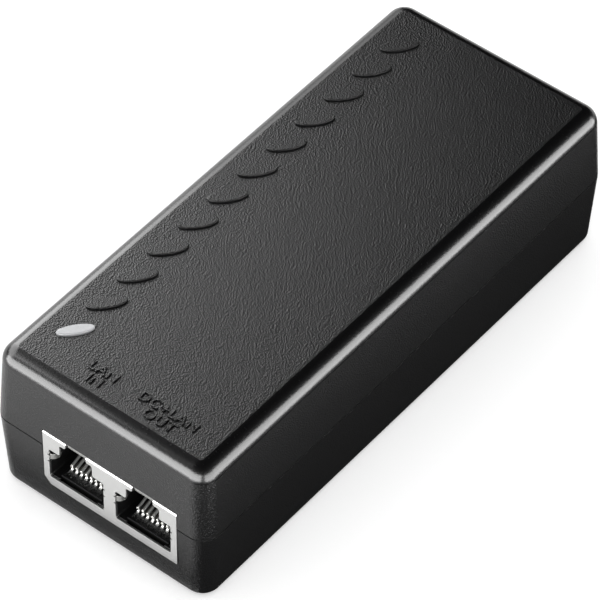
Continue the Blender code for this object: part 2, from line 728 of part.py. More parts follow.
def can_capacitor(name, x, y, radius, height):
    """Radial electrolytic capacitor: sleeved can with a crimp near its base and a rounded shoulder."""
    bung, sunk, lap, round_off = 0.2, 0.2, 1.0, 0.3
    crimp_height, crimp_half, crimp_depth = 2.4, 0.6, 0.5
    low, top = PART_LOW + bung, PART_LOW + height
    crimp = low + crimp_height
    profile = [(0, top - sunk), (radius - lap, top - sunk), (radius - lap + sunk, top),
               (radius - round_off, top), (radius, top - round_off), (radius, crimp + crimp_half),
               (radius - crimp_depth, crimp), (radius, crimp - crimp_half),
               (radius, low + round_off), (radius - round_off, low), (0, low)]
    return piece(turned(name, profile, (x, y, 0)), "capacitor_sleeve")


def power_package(name, x, near):
    """Three-legged power package, upright, its front at Y near and its metal tab towards the rear."""
    def slab(half_width, low, high, front, back, shift=0.0):
        return box(name, (x + shift - half_width, near + front, low),
                   (x + shift + half_width, near + back, high))

    body = slab(PACKAGE_HALF_WIDTH, PACKAGE_BASE, PACKAGE_BASE + PACKAGE_HEIGHT, 0.0, PACKAGE_DEPTH)
    join(body, slab(PACKAGE_HALF_WIDTH, PACKAGE_BASE + TAB_LOW, PACKAGE_BASE + TAB_TOP, TAB_NEAR,
                    PACKAGE_DEPTH))
    legs = [slab(PACKAGE_LEG_HALF, PART_LOW, PACKAGE_BASE + 0.5, *PACKAGE_LEG_DEPTHS, shift)
            for shift in (-PACKAGE_LEG_PITCH, 0.0, PACKAGE_LEG_PITCH)]
    join(body, islands(f"{name}_legs", legs))
    cut(body, rod(f"{name}_hole", (x, PACKAGE_BASE + TAB_HOLE_HEIGHT), TAB_HOLE_RADIUS,
                  near + TAB_NEAR - 1, near + PACKAGE_DEPTH + 1, "Y", segments=18))
    body.name = name
    return piece(body, "epoxy_black")


def heatsink(name, outline, hole_x):
    """Bent plate heatsink, with the hole for its package's screw."""
    plate_y = outline[0][1]
    sink = flat_shape(name, [outline], PART_LOW, PART_LOW + SINK_HEIGHT)
    cut(sink, rod(f"{name}_hole", (hole_x, PACKAGE_BASE + TAB_HOLE_HEIGHT), SINK_HOLE_RADIUS,
                  plate_y - 1, plate_y + 2 * SINK_SHEET, "Y", segments=18))
    return piece(sink, "heatsink_aluminium")


def package_screw(name, x, near):
    """Machine screw through the tab of the package whose front is at Y near, its head in front."""
    head_radius, head_height = SINK_SCREW_HEAD
    profile = [(0, head_height), (head_radius - SINK_SCREW_SLOPE, head_height),
               (head_radius, head_height - 0.7), (head_radius, 0), (SINK_SCREW_RADIUS, 0),
               (SINK_SCREW_RADIUS, -SINK_SCREW_LENGTH), (0, -SINK_SCREW_LENGTH)]
    screw = turned(name, profile, (0, 0, 0), steps=18)
    seat = Vector((x, near + TAB_NEAR - 0.15, PACKAGE_BASE + TAB_HOLE_HEIGHT)) * MM
    screw.matrix_world = Matrix.Translation(seat) @ Matrix.Rotation(math.radians(90), 4, "X")
    return piece(screw, "zinc_steel")


def mains_filter():
    """Fuse, inrush thermistor, film capacitor and bridge rectifier beside the inlet."""
    row_y = 25.5
    radius, height, ease = 4.1, 8.0, 0.4
    profile = [(0, height), (radius - ease, height), (radius, height - ease), (radius, ease),
               (radius - ease, 0), (0, 0)]
    piece(turned("fuse", profile, (-12.5, row_y, PART_LOW + 0.2)), "fuse_brown")
    disc_part("thermistor", -2.8, row_y, 4.6, 3.6, "thermistor_green")
    film = box("x_capacitor", (2.5, row_y - 4.0, PART_LOW), (18.5, row_y + 4.0, PART_LOW + 13.5))
    round_edges(film, 0.4)
    piece(film, "film_yellow")
    bridge = box("bridge_rectifier", (-5.4, 4.0, PART_LOW + 3.4), (-1.9, 18.5, PART_LOW + 14.0))
    leg_pitch = 3.8
    places = [(-3.65, 11.25 + leg_pitch * step) for step in (-1.5, -0.5, 0.5, 1.5)]
    join(bridge, leg_boxes("bridge", places, PART_LOW + 4.0, (0.25, 0.45)))
    piece(bridge, "epoxy_black")


def choke():
    """Upright toroidal common-mode choke: a coated ring core in two half windings."""
    x, y, z = CHOKE_PLACE
    inner, outer, half = CHOKE_RING

    def ring(name, low_radius, high_radius, half_width):
        profile = [(high_radius, half_width), (high_radius, -half_width),
                   (low_radius, -half_width), (low_radius, half_width)]
        return turned(name, profile, (x, y, z), "X", steps=28, closed=True)

    piece(ring("choke_core", inner, outer, half), "ferrite")
    for name, side in (("choke_winding_line", -1), ("choke_winding_neutral", 1)):
        coil = ring(name, inner - CHOKE_WIRE, outer + CHOKE_WIRE, half + CHOKE_WIRE)
        near, far = sorted((y + side * CHOKE_HALF_SPLIT, y + side * 2 * outer))
        sector = box(f"{name}_sector", (x - outer, near, z - 2 * outer), (x + outer, far, z + 2 * outer))
        boolean(coil, sector, "INTERSECT")
        cut(coil, ring(f"{name}_bore", inner - JACK_FIT, outer + JACK_FIT, half + JACK_FIT))
        piece(coil, "enamelled_copper")


def transformer():
    """Flyback transformer: two E cores joined as one frame, a flanged bobbin and its taped winding."""
    x, y, z = TRANSFORMER_PLACE
    half_width = CORE_LEG + 2 * CORE_WINDOW + CORE_BACK
    windows = [rectangle(CORE_WINDOW, CORE_HALF_LENGTH - CORE_BACK,
                         (x + side * (CORE_LEG + CORE_WINDOW), y)) for side in (-1, 1)]
    core = flat_shape("transformer_core", [rectangle(half_width, CORE_HALF_LENGTH, (x, y))] + windows,
                      z - CORE_LEG, z + CORE_LEG)
    piece(core, "ferrite")

    def sleeve(name, half_x, half_z, half_y, at_y=y):
        return flat_shape(name, [rectangle(half_x, half_z, (x, z))], at_y - half_y, at_y + half_y, "Y")

    bore = CORE_LEG + GAP
    tube = bore + BOBBIN_WALL
    flange = CORE_LEG + 2 * CORE_WINDOW - 0.2
    flange_y = BOBBIN_HALF_LENGTH - 0.15
    bobbin = sleeve("transformer_bobbin", tube, tube, BOBBIN_HALF_LENGTH)
    for side in (-1, 1):
        join(bobbin, sleeve(f"bobbin_flange_{side}", flange, flange + 0.3, BOBBIN_FLANGE_HALF,
                            y + side * flange_y))
        rail_ys = sorted((y + side * (BOBBIN_HALF_LENGTH - 0.4), y + side * CORE_HALF_LENGTH))
        join(bobbin, box(f"bobbin_rail_{side}", (x - BOBBIN_RAIL_HALF_WIDTH, rail_ys[0], PART_LOW + 0.3),
                         (x + BOBBIN_RAIL_HALF_WIDTH, rail_ys[1], PART_LOW + BOBBIN_RAIL_HEIGHT)))
    cut(bobbin, sleeve("bobbin_bore", bore, bore, CORE_HALF_LENGTH - 1))
    piece(bobbin, "epoxy_black")
    winding = sleeve("transformer_winding", flange - 0.15, flange - 0.15, WINDING_HALF_LENGTH)
    round_edges(winding, WINDING_CORNER, 3)
    cut(winding, sleeve("winding_bore", tube + 0.2, tube + 0.2, CORE_HALF_LENGTH - 1))
    piece(winding, "tape_yellow")


def primary_side():
    """Bulk capacitor, switching transistor on its heatsink, and the pulse controller."""
    can_capacitor("bulk_capacitor", 9.5, 11.0, 8.0, 20.5)
    x, near, fold = -13.6, -5.0, 3.4
    power_package("switching_transistor", x, near)
    plate_y = near + PACKAGE_DEPTH + GAP
    left, right, rear = x - 5.2, x + 5.2, plate_y + SINK_SHEET
    outline = [(left, plate_y), (right, plate_y), (right, rear), (left + SINK_SHEET, rear),
               (left + SINK_SHEET, plate_y + fold), (left, plate_y + fold)]
    heatsink("primary_heatsink", outline, x)
    package_screw("primary_heatsink_screw", x, near)
    chip("pwm_controller", (-15.6, -25.6, PART_LOW + 0.6), (-9.9, -16.6, PART_LOW + 3.8), 4, 2.3)
    disc_part("y_capacitor", 15.2, -3.5, 4.0, 3.2, "disc_blue")
    chip("optocoupler", (12.8, -16.9, PART_LOW + 0.6), (17.6, -12.1, PART_LOW + 3.9), 2, 2.54)


def secondary_side():
    """Output rectifier on its heatsink, filter capacitors and inductor."""
    x, near = 12.3, -27.2
    power_package("output_rectifier", x, near)
    plate_y = near + PACKAGE_DEPTH + GAP
    rear = plate_y + SINK_SHEET
    heatsink("secondary_heatsink", [(7.0, plate_y), (18.6, plate_y), (18.6, rear), (7.0, rear)], x)
    package_screw("secondary_heatsink_screw", x, near)
    can_capacitor("output_capacitor_1", -4.6, -24.8, 4.0, 16.0)
    can_capacitor("output_capacitor_2", 3.3, -24.8, 3.6, 13.0)
    rim, waist, low, top = 3.6, 2.9, 0.2, 8.6
    drum = [(0, top), (rim, top), (rim, top - 1.2), (waist, top - 1.4), (waist, low + 1.4),
            (rim, low + 1.2), (rim, low), (0, low)]
    piece(turned("output_inductor", drum, (10.0, -33.6, PART_LOW)), "ferrite")


def network_side():
    """Isolation transformer behind the jack, and the power-over-network controller."""
    module = box("lan_transformer", (-7.6, -37.6, PART_LOW), (5.4, -29.6, PART_LOW + 5.6))
    round_edges(module, 0.3)
    piece(module, "epoxy_black")
    chip("poe_controller", (-17.0, -50.0, PART_LOW + 0.4), (-13.4, -45.2, PART_LOW + 2.2), 4, 1.27)


def build():
    """Make every piece of the injector."""
    windows = (jack_window(), inlet_window())
    top_shell(windows)
    bottom_shell(windows)
    case_screws()
    main_board()
    insulation_sheet()
    indicator()
    jack_shield()
    jack_housing()
    for side, centre in zip(("left", "right"), port_centres()):
        contact_insert(side, centre)
        contacts(side, centre)
    inlet_body()
    inlet_blades()
    mains_filter()
    choke()
    transformer()
    primary_side()
    secondary_side()
    network_side()


build()
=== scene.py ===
"""Looks of the power-over-network injector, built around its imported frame.

Every size below is in millimetres in the frame's own axes: the length runs along Y, the two-port jack
faces -Y, the mains inlet faces +Y, and the base lies at Z 0. MM turns a size to metres.
"""

import json
import logging
import math
from dataclasses import dataclass, field
from enum import Enum
from typing import Any, Callable, Sequence

import bmesh
import bpy
from mathutils import Matrix, Vector


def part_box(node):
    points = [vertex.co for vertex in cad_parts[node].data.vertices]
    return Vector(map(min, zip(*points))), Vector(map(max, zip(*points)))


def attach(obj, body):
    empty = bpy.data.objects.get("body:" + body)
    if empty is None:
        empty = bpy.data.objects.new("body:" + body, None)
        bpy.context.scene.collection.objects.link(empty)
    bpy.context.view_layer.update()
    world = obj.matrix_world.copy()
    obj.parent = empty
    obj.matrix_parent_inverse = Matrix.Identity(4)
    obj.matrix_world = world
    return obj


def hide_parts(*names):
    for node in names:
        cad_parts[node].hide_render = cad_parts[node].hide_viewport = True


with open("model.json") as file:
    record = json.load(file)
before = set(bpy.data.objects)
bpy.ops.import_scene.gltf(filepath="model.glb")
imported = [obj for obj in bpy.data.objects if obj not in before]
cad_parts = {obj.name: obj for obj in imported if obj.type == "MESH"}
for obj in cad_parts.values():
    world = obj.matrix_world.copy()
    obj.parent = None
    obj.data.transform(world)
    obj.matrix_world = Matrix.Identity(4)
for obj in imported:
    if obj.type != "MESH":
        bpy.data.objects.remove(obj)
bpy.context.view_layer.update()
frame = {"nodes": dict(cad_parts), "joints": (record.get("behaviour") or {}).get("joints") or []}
MM = 0.001
LOG = logging.getLogger("injector")
X, Y, Z = range(3)
# How far a cutter runs past the face that it opens
PAST = 1.0
Point = Sequence[float]
Piece = bpy.types.Object
Tree = bpy.types.NodeTree
Socket = bpy.types.NodeSocket
Test = Callable[[Any], bool]


# ---------------------------------------------------------------- shaping

class Pick(Enum):
    """What an edit works on."""

    FACE = "FACE"
    EDGE = "EDGE"


class Action(Enum):
    """What a tool shape does to the piece that it meets."""

    CUT = "DIFFERENCE"
    JOIN = "UNION"
    KEEP = "INTERSECT"


class Axis(Enum):
    """Direction that a round shape is drawn along, as the turn from +Z."""

    X = (0.0, math.pi / 2, 0.0)
    Y = (-math.pi / 2, 0.0, 0.0)
    Z = (0.0, 0.0, 0.0)


def settle() -> None:
    """Leave edit mode and deselect everything."""
    active = bpy.context.view_layer.objects.active
    if active and active.mode != "OBJECT":
        bpy.ops.object.mode_set(mode="OBJECT")
    bpy.ops.object.select_all(action="DESELECT")


def hold(obj: Piece) -> None:
    """Select one object and make it active, for the operators that follow."""
    settle()
    obj.select_set(True)
    bpy.context.view_layer.objects.active = obj


def placed(name: str) -> Piece:
    """Name the primitive just added, and put its place and size into its mesh.

    Args:
        name: The object's name.

    Returns:
        The object, at the origin, unturned and unscaled.
    """
    obj = bpy.context.view_layer.objects.active
    obj.name = name
    obj.data.name = name
    bpy.ops.object.transform_apply(location=True, rotation=True, scale=True)
    return obj


def block(name: str, low: Point, high: Point) -> Piece:
    """Add a block between two opposite corners.

    Args:
        name: The object's name.
        low: Lowest corner, in millimetres.
        high: Highest corner, in millimetres.

    Returns:
        The new object.
    """
    settle()
    near, far = Vector(low) * MM, Vector(high) * MM
    bpy.ops.mesh.primitive_cube_add(size=1.0, location=(near + far) / 2, scale=far - near)
    return placed(name)


def rod(name: str, centre: Point, radius: float, low: float, high: float, axis: Axis = Axis.Z,
        sides: int = 40, top_radius: float | None = None) -> Piece:
    """Add a round rod, or a cone, along an axis.

    Args:
        name: The object's name.
        centre: The two coordinates across the axis, in the order X, Y, Z.
        radius: Radius at the low end, in millimetres.
        low: Where it starts along the axis.
        high: Where it ends along the axis.
        axis: The axis that it runs along.
        sides: Number of sides.
        top_radius: Radius at the high end, the same as radius if it isn't given.

    Returns:
        The new object.
    """
    settle()
    middle = (low + high) / 2
    place = {Axis.X: (middle, *centre), Axis.Y: (centre[0], middle, centre[1]),
             Axis.Z: (*centre, middle)}[axis]
    far = radius if top_radius is None else top_radius
    bpy.ops.mesh.primitive_cone_add(vertices=sides, radius1=radius * MM, radius2=far * MM,
                                    depth=(high - low) * MM, location=Vector(place) * MM,
                                    rotation=axis.value)
    return placed(name)


def oval(name: str, centre: Point, semi: Point, turn: float, low: float, high: float,
         sides: int = 72) -> Piece:
    """Add an upright oval block.

    Args:
        name: The object's name.
        centre: Its place in plan, in millimetres.
        semi: Its long and short half widths.
        turn: Angle of its long half width from +X, in degrees.
        low: Height of its lower face.
        high: Height of its upper face.
        sides: Number of sides.

    Returns:
        The new object.
    """
    settle()
    bpy.ops.mesh.primitive_cylinder_add(vertices=sides, radius=MM, depth=MM,
                                        location=Vector((*centre, (low + high) / 2)) * MM,
                                        rotation=(0, 0, math.radians(turn)),
                                        scale=(semi[0], semi[1], high - low))
    return placed(name)


def pick(obj: Piece, kind: Pick, test: Test) -> None:
    """Enter edit mode with only the faces or edges that pass a test selected.

    Args:
        obj: The object to edit.
        kind: Whether faces or edges are picked.
        test: Says of each bmesh face or edge whether it is wanted.
    """
    hold(obj)
    bpy.ops.object.mode_set(mode="EDIT")
    bpy.ops.mesh.select_mode(type=kind.value)
    bpy.ops.mesh.select_all(action="DESELECT")
    shape = bmesh.from_edit_mesh(obj.data)
    for element in shape.faces if kind is Pick.FACE else shape.edges:
        element.select_set(bool(test(element)))
    bmesh.update_edit_mesh(obj.data)


def close_to(value: float, size: float, slack: float = 0.004) -> bool:
    """Say whether a length in metres is that size in millimetres."""
    return abs(value / MM - size) < slack


def edge_runs(edge: Any, axis: int) -> bool:
    """Say whether an edge runs along an axis, within the few degrees of a draft."""
    step = edge.verts[1].co - edge.verts[0].co
    return abs(step[axis]) > 0.98 * step.length


def edge_lies(edge: Any, axis: int, size: float) -> bool:
    """Say whether both ends of an edge lie at a place along an axis."""
    return all(close_to(vert.co[axis], size) for vert in edge.verts)


def edges(runs: int | None = None, x: float | None = None, y: float | None = None,
          z: float | None = None) -> Test:
    """Make a test of edges, by the axis that they run along and the places where they lie.

    Args:
        runs: The axis that they run along, any if it isn't given.
        x: Where both ends lie along X, in millimetres, anywhere if it isn't given.
        y: The same along Y.
        z: The same along Z.

    Returns:
        The test.
    """
    places = [(axis, place) for axis, place in enumerate((x, y, z)) if place is not None]
    return lambda edge: ((runs is None or edge_runs(edge, runs))
                         and all(edge_lies(edge, axis, place) for axis, place in places))


def cad_box(node: str) -> tuple[Vector, Vector]:
    """Lowest and highest corner of a CAD piece, in millimetres."""
    low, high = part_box(node)
    return low / MM, high / MM


def ease(obj: Piece, test: Test, width: float, steps: int = 2) -> None:
    """Round the edges that pass a test.

    Args:
        obj: The object to edit.
        test: Says of each edge whether it is rounded.
        width: Bevel width, in millimetres.
        steps: Number of faces across the rounding.
    """
    pick(obj, Pick.EDGE, test)
    bpy.ops.mesh.bevel(offset=width * MM, segments=steps, profile=0.5, affect="EDGES")
    settle()


def shape_with(obj: Piece, kind: str, **settings: Any) -> None:
    """Add a modifier of a kind with its own settings, and apply it."""
    hold(obj)
    change = obj.modifiers.new(kind.lower(), kind)
    for name, value in settings.items():
        setattr(change, name, value)
    bpy.ops.object.modifier_apply(modifier=change.name)


def ease_all(obj: Piece, width: float, steps: int = 2, over: float = 40.0) -> None:
    """Round every edge that is sharper than an angle in degrees, by a width in millimetres."""
    shape_with(obj, "BEVEL", width=width * MM, segments=steps, limit_method="ANGLE",
               angle_limit=math.radians(over))


def work(obj: Piece, action: Action, *tools: Piece) -> Piece:
    """Cut tool shapes from a piece, or unite them with it, and use the tools up.

    Args:
        obj: The piece.
        action: What the tools do.
        *tools: Closed shapes, which are removed afterwards.

    Returns:
        The piece.
    """
    for tool in tools:
        shape_with(obj, "BOOLEAN", operation=action.value, object=tool, solver="EXACT")
        bpy.data.objects.remove(tool)
    return obj


def gather(name: str, parts: Sequence[Piece]) -> Piece:
    """Join several objects into one, as separate shapes.

    Args:
        name: Name of the joined object.
        parts: The objects, which it takes in.

    Returns:
        The joined object.
    """
    hold(parts[0])
    for part in parts[1:]:
        part.select_set(True)
    if len(parts) > 1:
        bpy.ops.object.join()
    parts[0].name = name
    parts[0].data.name = name
    return parts[0]


def twin(obj: Piece, name: str, step: Point) -> Piece:
    """Copy a piece with its own mesh, moved by a step in millimetres.

    Args:
        obj: The piece to copy.
        name: Name of the copy.
        step: How far the copy is moved.

    Returns:
        The copy.
    """
    copy = obj.copy()
    copy.data = obj.data.copy()
    copy.name = name
    copy.data.name = name
    bpy.context.scene.collection.objects.link(copy)
    copy.data.transform(Matrix.Translation(Vector(step) * MM))
    return copy


def in_row(first: Piece, count: int, step: Point) -> list[Piece]:
    """Give a row of a piece and its copies, each a step in millimetres on from the last."""
    return [first] + [twin(first, f"{first.name}_{index}", [part * index for part in step])
                      for index in range(1, count)]


def push(step: Point) -> None:
    """Extrude what is selected in edit mode by a step in millimetres."""
    bpy.ops.mesh.extrude_region_move(TRANSFORM_OT_translate={"value": Vector(step) * MM})


def widen(factor: Point, about: Point) -> None:
    """Scale what is selected in edit mode about a point in millimetres."""
    bpy.ops.transform.resize(value=factor, center_override=Vector(about) * MM)


def tidy_mesh(obj: Piece) -> None:
    """Merge doubled points and point all faces outwards."""
    pick(obj, Pick.FACE, lambda face: True)
    bpy.ops.mesh.remove_doubles(threshold=1e-6)
    bpy.ops.mesh.normals_make_consistent(inside=False)
    settle()


# ---------------------------------------------------------------- finishes

def linear(code: str) -> tuple[float, float, float, float]:
    """Turn an sRGB hex colour to linear.

    Args:
        code: Six hex digits after a hash.

    Returns:
        Red, green, blue and an alpha of 1.
    """
    parts = [int(code[at:at + 2], 16) / 255 for at in (1, 3, 5)]
    red, green, blue = (c / 12.92 if c <= 0.04045 else ((c + 0.055) / 1.055) ** 2.4 for c in parts)
    return red, green, blue, 1.0


def add_node(tree: Tree, kind: str, inputs: dict[Any, Any] | None = None,
             **settings: Any) -> bpy.types.Node:
    """Add a node with its settings and links.

    Args:
        tree: The tree that it joins.
        kind: The node's type.
        inputs: A socket to link from, or a value, for each input by name or number.
        **settings: The node's own settings.

    Returns:
        The new node.
    """
    node = tree.nodes.new(kind)
    for name, value in settings.items():
        setattr(node, name, value)
    for name, value in (inputs or {}).items():
        if isinstance(value, Socket):
            tree.links.new(value, node.inputs[name])
        else:
            node.inputs[name].default_value = value
    return node


def maths(tree: Tree, operation: str, *values: Any) -> Socket:
    """Combine sockets or numbers with one math node."""
    return add_node(tree, "ShaderNodeMath", dict(enumerate(values)), operation=operation).outputs[0]


def per_mm(size: float) -> float:
    """Texture scale at which a pattern repeats about every size millimetres."""
    return 1.0 / (size * MM)


@dataclass(frozen=True)
class Finish:
    """A finish whose colour, gloss and relief all vary with one fine and one broad noise.

    The broad noise, scaled by the fine one, moves the colour between two close shades, as handling and flow
    do;
    the fine one is the relief, and moves the gloss a little.
    """

    title: str
    slot: str
    colour: str
    shade: str
    roughness: float
    wander: float = 0.05
    metallic: float = 0.0
    grain: float = 0.3
    relief: float = 0.01
    cloud: float = 9.0
    stretch: tuple[float, float, float] = (1.0, 1.0, 1.0)
    uniform: tuple[tuple[str, Any], ...] = ()

    def pattern(self, tree: Tree, place: Socket) -> Socket:
        """Give the height of the fine relief, from 0 to 1, over the piece's own coordinates."""
        noise = add_node(tree, "ShaderNodeTexNoise",
                         {"Vector": place, "Scale": per_mm(self.grain), "Detail": 3.0,
                          "Roughness": 0.55})
        return noise.outputs["Fac"]

    def tint(self, tree: Tree, place: Socket,
             height: Socket) -> Socket:
        """Give the colour over the surface.

        Args:
            tree: The material's node tree.
            place: The piece's own coordinates, in metres.
            height: The fine relief.

        Returns:
            The socket with the colour.
        """
        cloud = add_node(tree, "ShaderNodeTexNoise",
                         {"Vector": place, "Scale": per_mm(self.cloud), "Detail": 2.0})
        blend = maths(tree, "MULTIPLY_ADD", cloud.outputs["Fac"], height, 0.1)
        mix = add_node(tree, "ShaderNodeMix", {0: blend, 6: linear(self.colour), 7: linear(self.shade)},
                       data_type="RGBA")
        return mix.outputs[2]

    def make(self) -> bpy.types.Material:
        """Make the material, or give the one made when it was first asked for."""
        known = bpy.data.materials.get(self.title)
        if known:
            return known
        made = bpy.data.materials.new(self.title)
        made.use_nodes = True
        tree = made.node_tree
        shader = tree.nodes["Principled BSDF"]
        shader.inputs["Metallic"].default_value = self.metallic
        for name, value in self.uniform:
            shader.inputs[name].default_value = value
        where = add_node(tree, "ShaderNodeTexCoord").outputs["Object"]
        place = add_node(tree, "ShaderNodeMapping", {"Vector": where, "Scale": self.stretch}).outputs[0]
        height = self.pattern(tree, place)
        tree.links.new(self.tint(tree, place, height), shader.inputs["Base Color"])
        gloss = add_node(tree, "ShaderNodeMapRange",
                         {"Value": height, "To Min": self.roughness - self.wander,
                          "To Max": self.roughness + self.wander})
        tree.links.new(gloss.outputs["Result"], shader.inputs["Roughness"])
        bump = add_node(tree, "ShaderNodeBump", {"Height": height, "Distance": self.relief * MM,
                                                 "Strength": 1.0})
        tree.links.new(bump.outputs["Normal"], shader.inputs["Normal"])
        return made


@dataclass(frozen=True)
class SparkErodedFinish(Finish):
    """Moulded plastic from a spark-eroded tool: rounded pits and grains of one size, close together."""

    def pattern(self, tree: Tree, place: Socket) -> Socket:
        """Give rounded grains close to each other in size."""
        cells = add_node(tree, "ShaderNodeTexVoronoi",
                         {"Vector": place, "Scale": per_mm(self.grain), "Smoothness": 0.3},
                         feature="SMOOTH_F1")
        return cells.outputs["Distance"]


@dataclass(frozen=True)
class WoundFinish(Finish):
    """Wire laid side by side in turns, or tape in laps: fine ridges across one axis."""

    pitch: float = 0.5
    direction: str = "Z"

    def pattern(self, tree: Tree, place: Socket) -> Socket:
        """Give ridges that repeat once each pitch."""
        turns_per_unit = 2 * math.pi / 20.0
        wave = add_node(tree, "ShaderNodeTexWave",
                        {"Vector": place, "Scale": per_mm(self.pitch) * turns_per_unit,
                         "Distortion": 0.4, "Detail": 1.0}, bands_direction=self.direction)
        return wave.outputs["Fac"]


@dataclass(frozen=True)
class RadialWoundFinish(Finish):
    """Turns of wire round a ring: ridges that run out from an axis along X."""

    centre: tuple[float, float] = (0.0, 0.0)
    turns: float = 60.0

    def pattern(self, tree: Tree, place: Socket) -> Socket:
        """Give one ridge for each turn about the ring's middle."""
        split = add_node(tree, "ShaderNodeSeparateXYZ", {0: place})
        across, up = (maths(tree, "SUBTRACT", split.outputs[axis], middle * MM)
                      for axis, middle in zip(("Y", "Z"), self.centre))
        ridge = maths(tree, "SINE", maths(tree, "MULTIPLY", maths(tree, "ARCTAN2", up, across), self.turns))
        return add_node(tree, "ShaderNodeMapRange", {"Value": ridge, "From Min": -1.0}).outputs["Result"]


@dataclass(frozen=True)
class LaminateFinish(Finish):
    """Solder-masked circuit board: raised copper tracks under green lacquer, over a faint glass weave."""

    track: float = 2.4

    def pattern(self, tree: Tree, place: Socket) -> Socket:
        """Give tracks as flat-topped patches, with the weave between."""
        patches = add_node(tree, "ShaderNodeTexBrick",
                           {"Vector": place, "Scale": 1.0, "Mortar Size": 0.25 * MM,
                            "Brick Width": self.track * 3 * MM, "Row Height": self.track * MM})
        weave = add_node(tree, "ShaderNodeTexNoise", {"Vector": place, "Scale": per_mm(0.5)})
        return maths(tree, "ADD", patches.outputs["Fac"],
                     maths(tree, "MULTIPLY", weave.outputs["Fac"], 0.25))


# Black ABS from a spark-eroded tool: the even grain breaks the light into a soft grey mottle
CASE_GRAIN = SparkErodedFinish("textured_abs", "case_plastic", "#0d0d0e", "#09090a", 0.30, wander=0.03,
                               grain=0.26, relief=0.065, cloud=22.0,
                               uniform=(("Specular IOR Level", 0.37),))
# The same ABS where the tool's radii are polished: long, soft-edged bright streaks against near black
CASE_RADIUS = SparkErodedFinish("polished_abs_radius", "case_plastic", "#080809", "#060607", 0.25,
                                wander=0.03, grain=0.30, relief=0.006, cloud=14.0)
# The insides of the shells: the same black ABS with a dull blasted surface
CASE_INSIDE = Finish("blasted_abs", "case_plastic", "#08080a", "#050506", 0.62, grain=0.4, relief=0.01)
# Glass-filled nylon of the jack's body: deep black, with a faint silky flow
JACK_NYLON = Finish("jack_nylon", "jack_plastic", "#08080a", "#050506", 0.42, wander=0.04, grain=0.6,
                    relief=0.003, cloud=5.0, uniform=(("Specular IOR Level", 0.3),))
# Glass-filled nylon of the mains inlet: black, satin, with a fine even grain
INLET_NYLON = SparkErodedFinish("inlet_nylon", "jack_plastic", "#131314", "#0c0c0d", 0.42, wander=0.05,
                                grain=0.35, relief=0.010)
# Diffusing polycarbonate of the lens: a milky grey that glows a little and shines at its rim
LENS_MILK = Finish("milky_polycarbonate", "lens_plastic", "#c4c5c7", "#babbbd", 0.30, wander=0.03,
                   grain=0.4, relief=0.002, cloud=2.0,
                   uniform=(("Subsurface Weight", 0.2), ("Subsurface Scale", 0.3 * MM),
                            ("Subsurface Radius", (1.0, 1.0, 1.0))))
# Tin-plated steel sheet: pale satin metal with faint rolling lines along its length
TIN_PLATE = Finish("tinned_sheet", "tinned_steel", "#bfbfbe", "#b4b4b3", 0.33, wander=0.05, metallic=1.0,
                   grain=0.25, relief=0.0015, cloud=6.0, stretch=(0.12, 1.0, 1.0))
# A darker, duller copy of the same tin: painted shade on the fingers and hems that sit inside the ports
SHADED_TIN = Finish("tin_painted_shade", "tinned_steel", "#8f8f8d", "#7d7d7b", 0.42, metallic=1.0, grain=0.25,
                    relief=0.002, cloud=2.0)
# Hard plating over phosphor bronze: bright springs that flash where they turn
SPRING_PLATE = Finish("plated_spring_bronze", "contact_metal", "#f0f0ee", "#e2e2df", 0.33, wander=0.04,
                      metallic=1.0, grain=0.2, relief=0.001, cloud=1.5)
# A darker, duller copy of the springs' plating on their fixed legs: painted shade where they lie in the
# bar's grooves
SHADED_LEG_PLATE = Finish("spring_bronze_painted_shade", "contact_metal", "#8b8983", "#76746e", 0.46, metallic=1.0,
                   grain=0.2, relief=0.001, cloud=1.5)
# Nickel-plated brass blades: cool bright metal with scuffs along the way that a plug slides
BLADE_NICKEL = Finish("nickel_plated_brass", "blade_metal", "#cfcfcc", "#bdbbb4", 0.24, wander=0.08,
                      metallic=1.0, grain=0.3, relief=0.002, cloud=3.0, stretch=(1.0, 0.1, 1.0))
# Zinc-plated screws: slightly blue, mottled metal
SCREW_ZINC = Finish("bright_zinc_plate", "screw_steel", "#b9bec4", "#9aa0a8", 0.32, wander=0.08,
                    metallic=1.0, grain=0.25, relief=0.003, cloud=1.2)
# Solder-masked glass laminate
BOARD_MASK = LaminateFinish("solder_masked_laminate", "board_laminate", "#0f5a2c", "#17743a", 0.36,
                            relief=0.03)
# Polyester film: dull, milky, slightly yellow
FILM = Finish("polyester_film", "film_sheet", "#d8cfae", "#c9bf9b", 0.38, grain=1.2, relief=0.006)
# Water-clear epoxy over the die: bright and glossy
LED_EPOXY = Finish("led_epoxy", "led_body", "#ece9da", "#dcd6bd", 0.18, grain=0.6, relief=0.002,
                   cloud=1.5)
# Phenolic body of the fuse: brown with a soft bloom
PHENOLIC = Finish("brown_phenolic", "fuse_body", "#4a2417", "#331710", 0.36, grain=0.4, relief=0.004)
# Dipped lacquer on the thermistor: dull olive with runs
DIPPED_LACQUER = Finish("dipped_lacquer", "thermistor_body", "#2c4a33", "#1f3626", 0.48, grain=0.8,
                        relief=0.03, cloud=2.5)
# Potted box of the film capacitor: clean yellow with a slight orange peel
POTTED_BOX = Finish("potted_box_yellow", "film_capacitor", "#e0b01c", "#cf9c12", 0.34, grain=0.7,
                    relief=0.01)
# Sintered ferrite: dark grey, dull, with open pores
SINTERED = SparkErodedFinish("sintered_ferrite", "ferrite", "#3b3b3f", "#252528", 0.68, wander=0.1,
                             grain=0.22, relief=0.03, cloud=4.0)
# Enamelled copper wire round the ring core: glossy amber ridges
RING_COPPER = RadialWoundFinish("enamelled_copper_ring", "copper_wire", "#c96a2a", "#7e3511", 0.24,
                                metallic=1.0, relief=0.25, centre=(12.0, 15.5), turns=58.0)
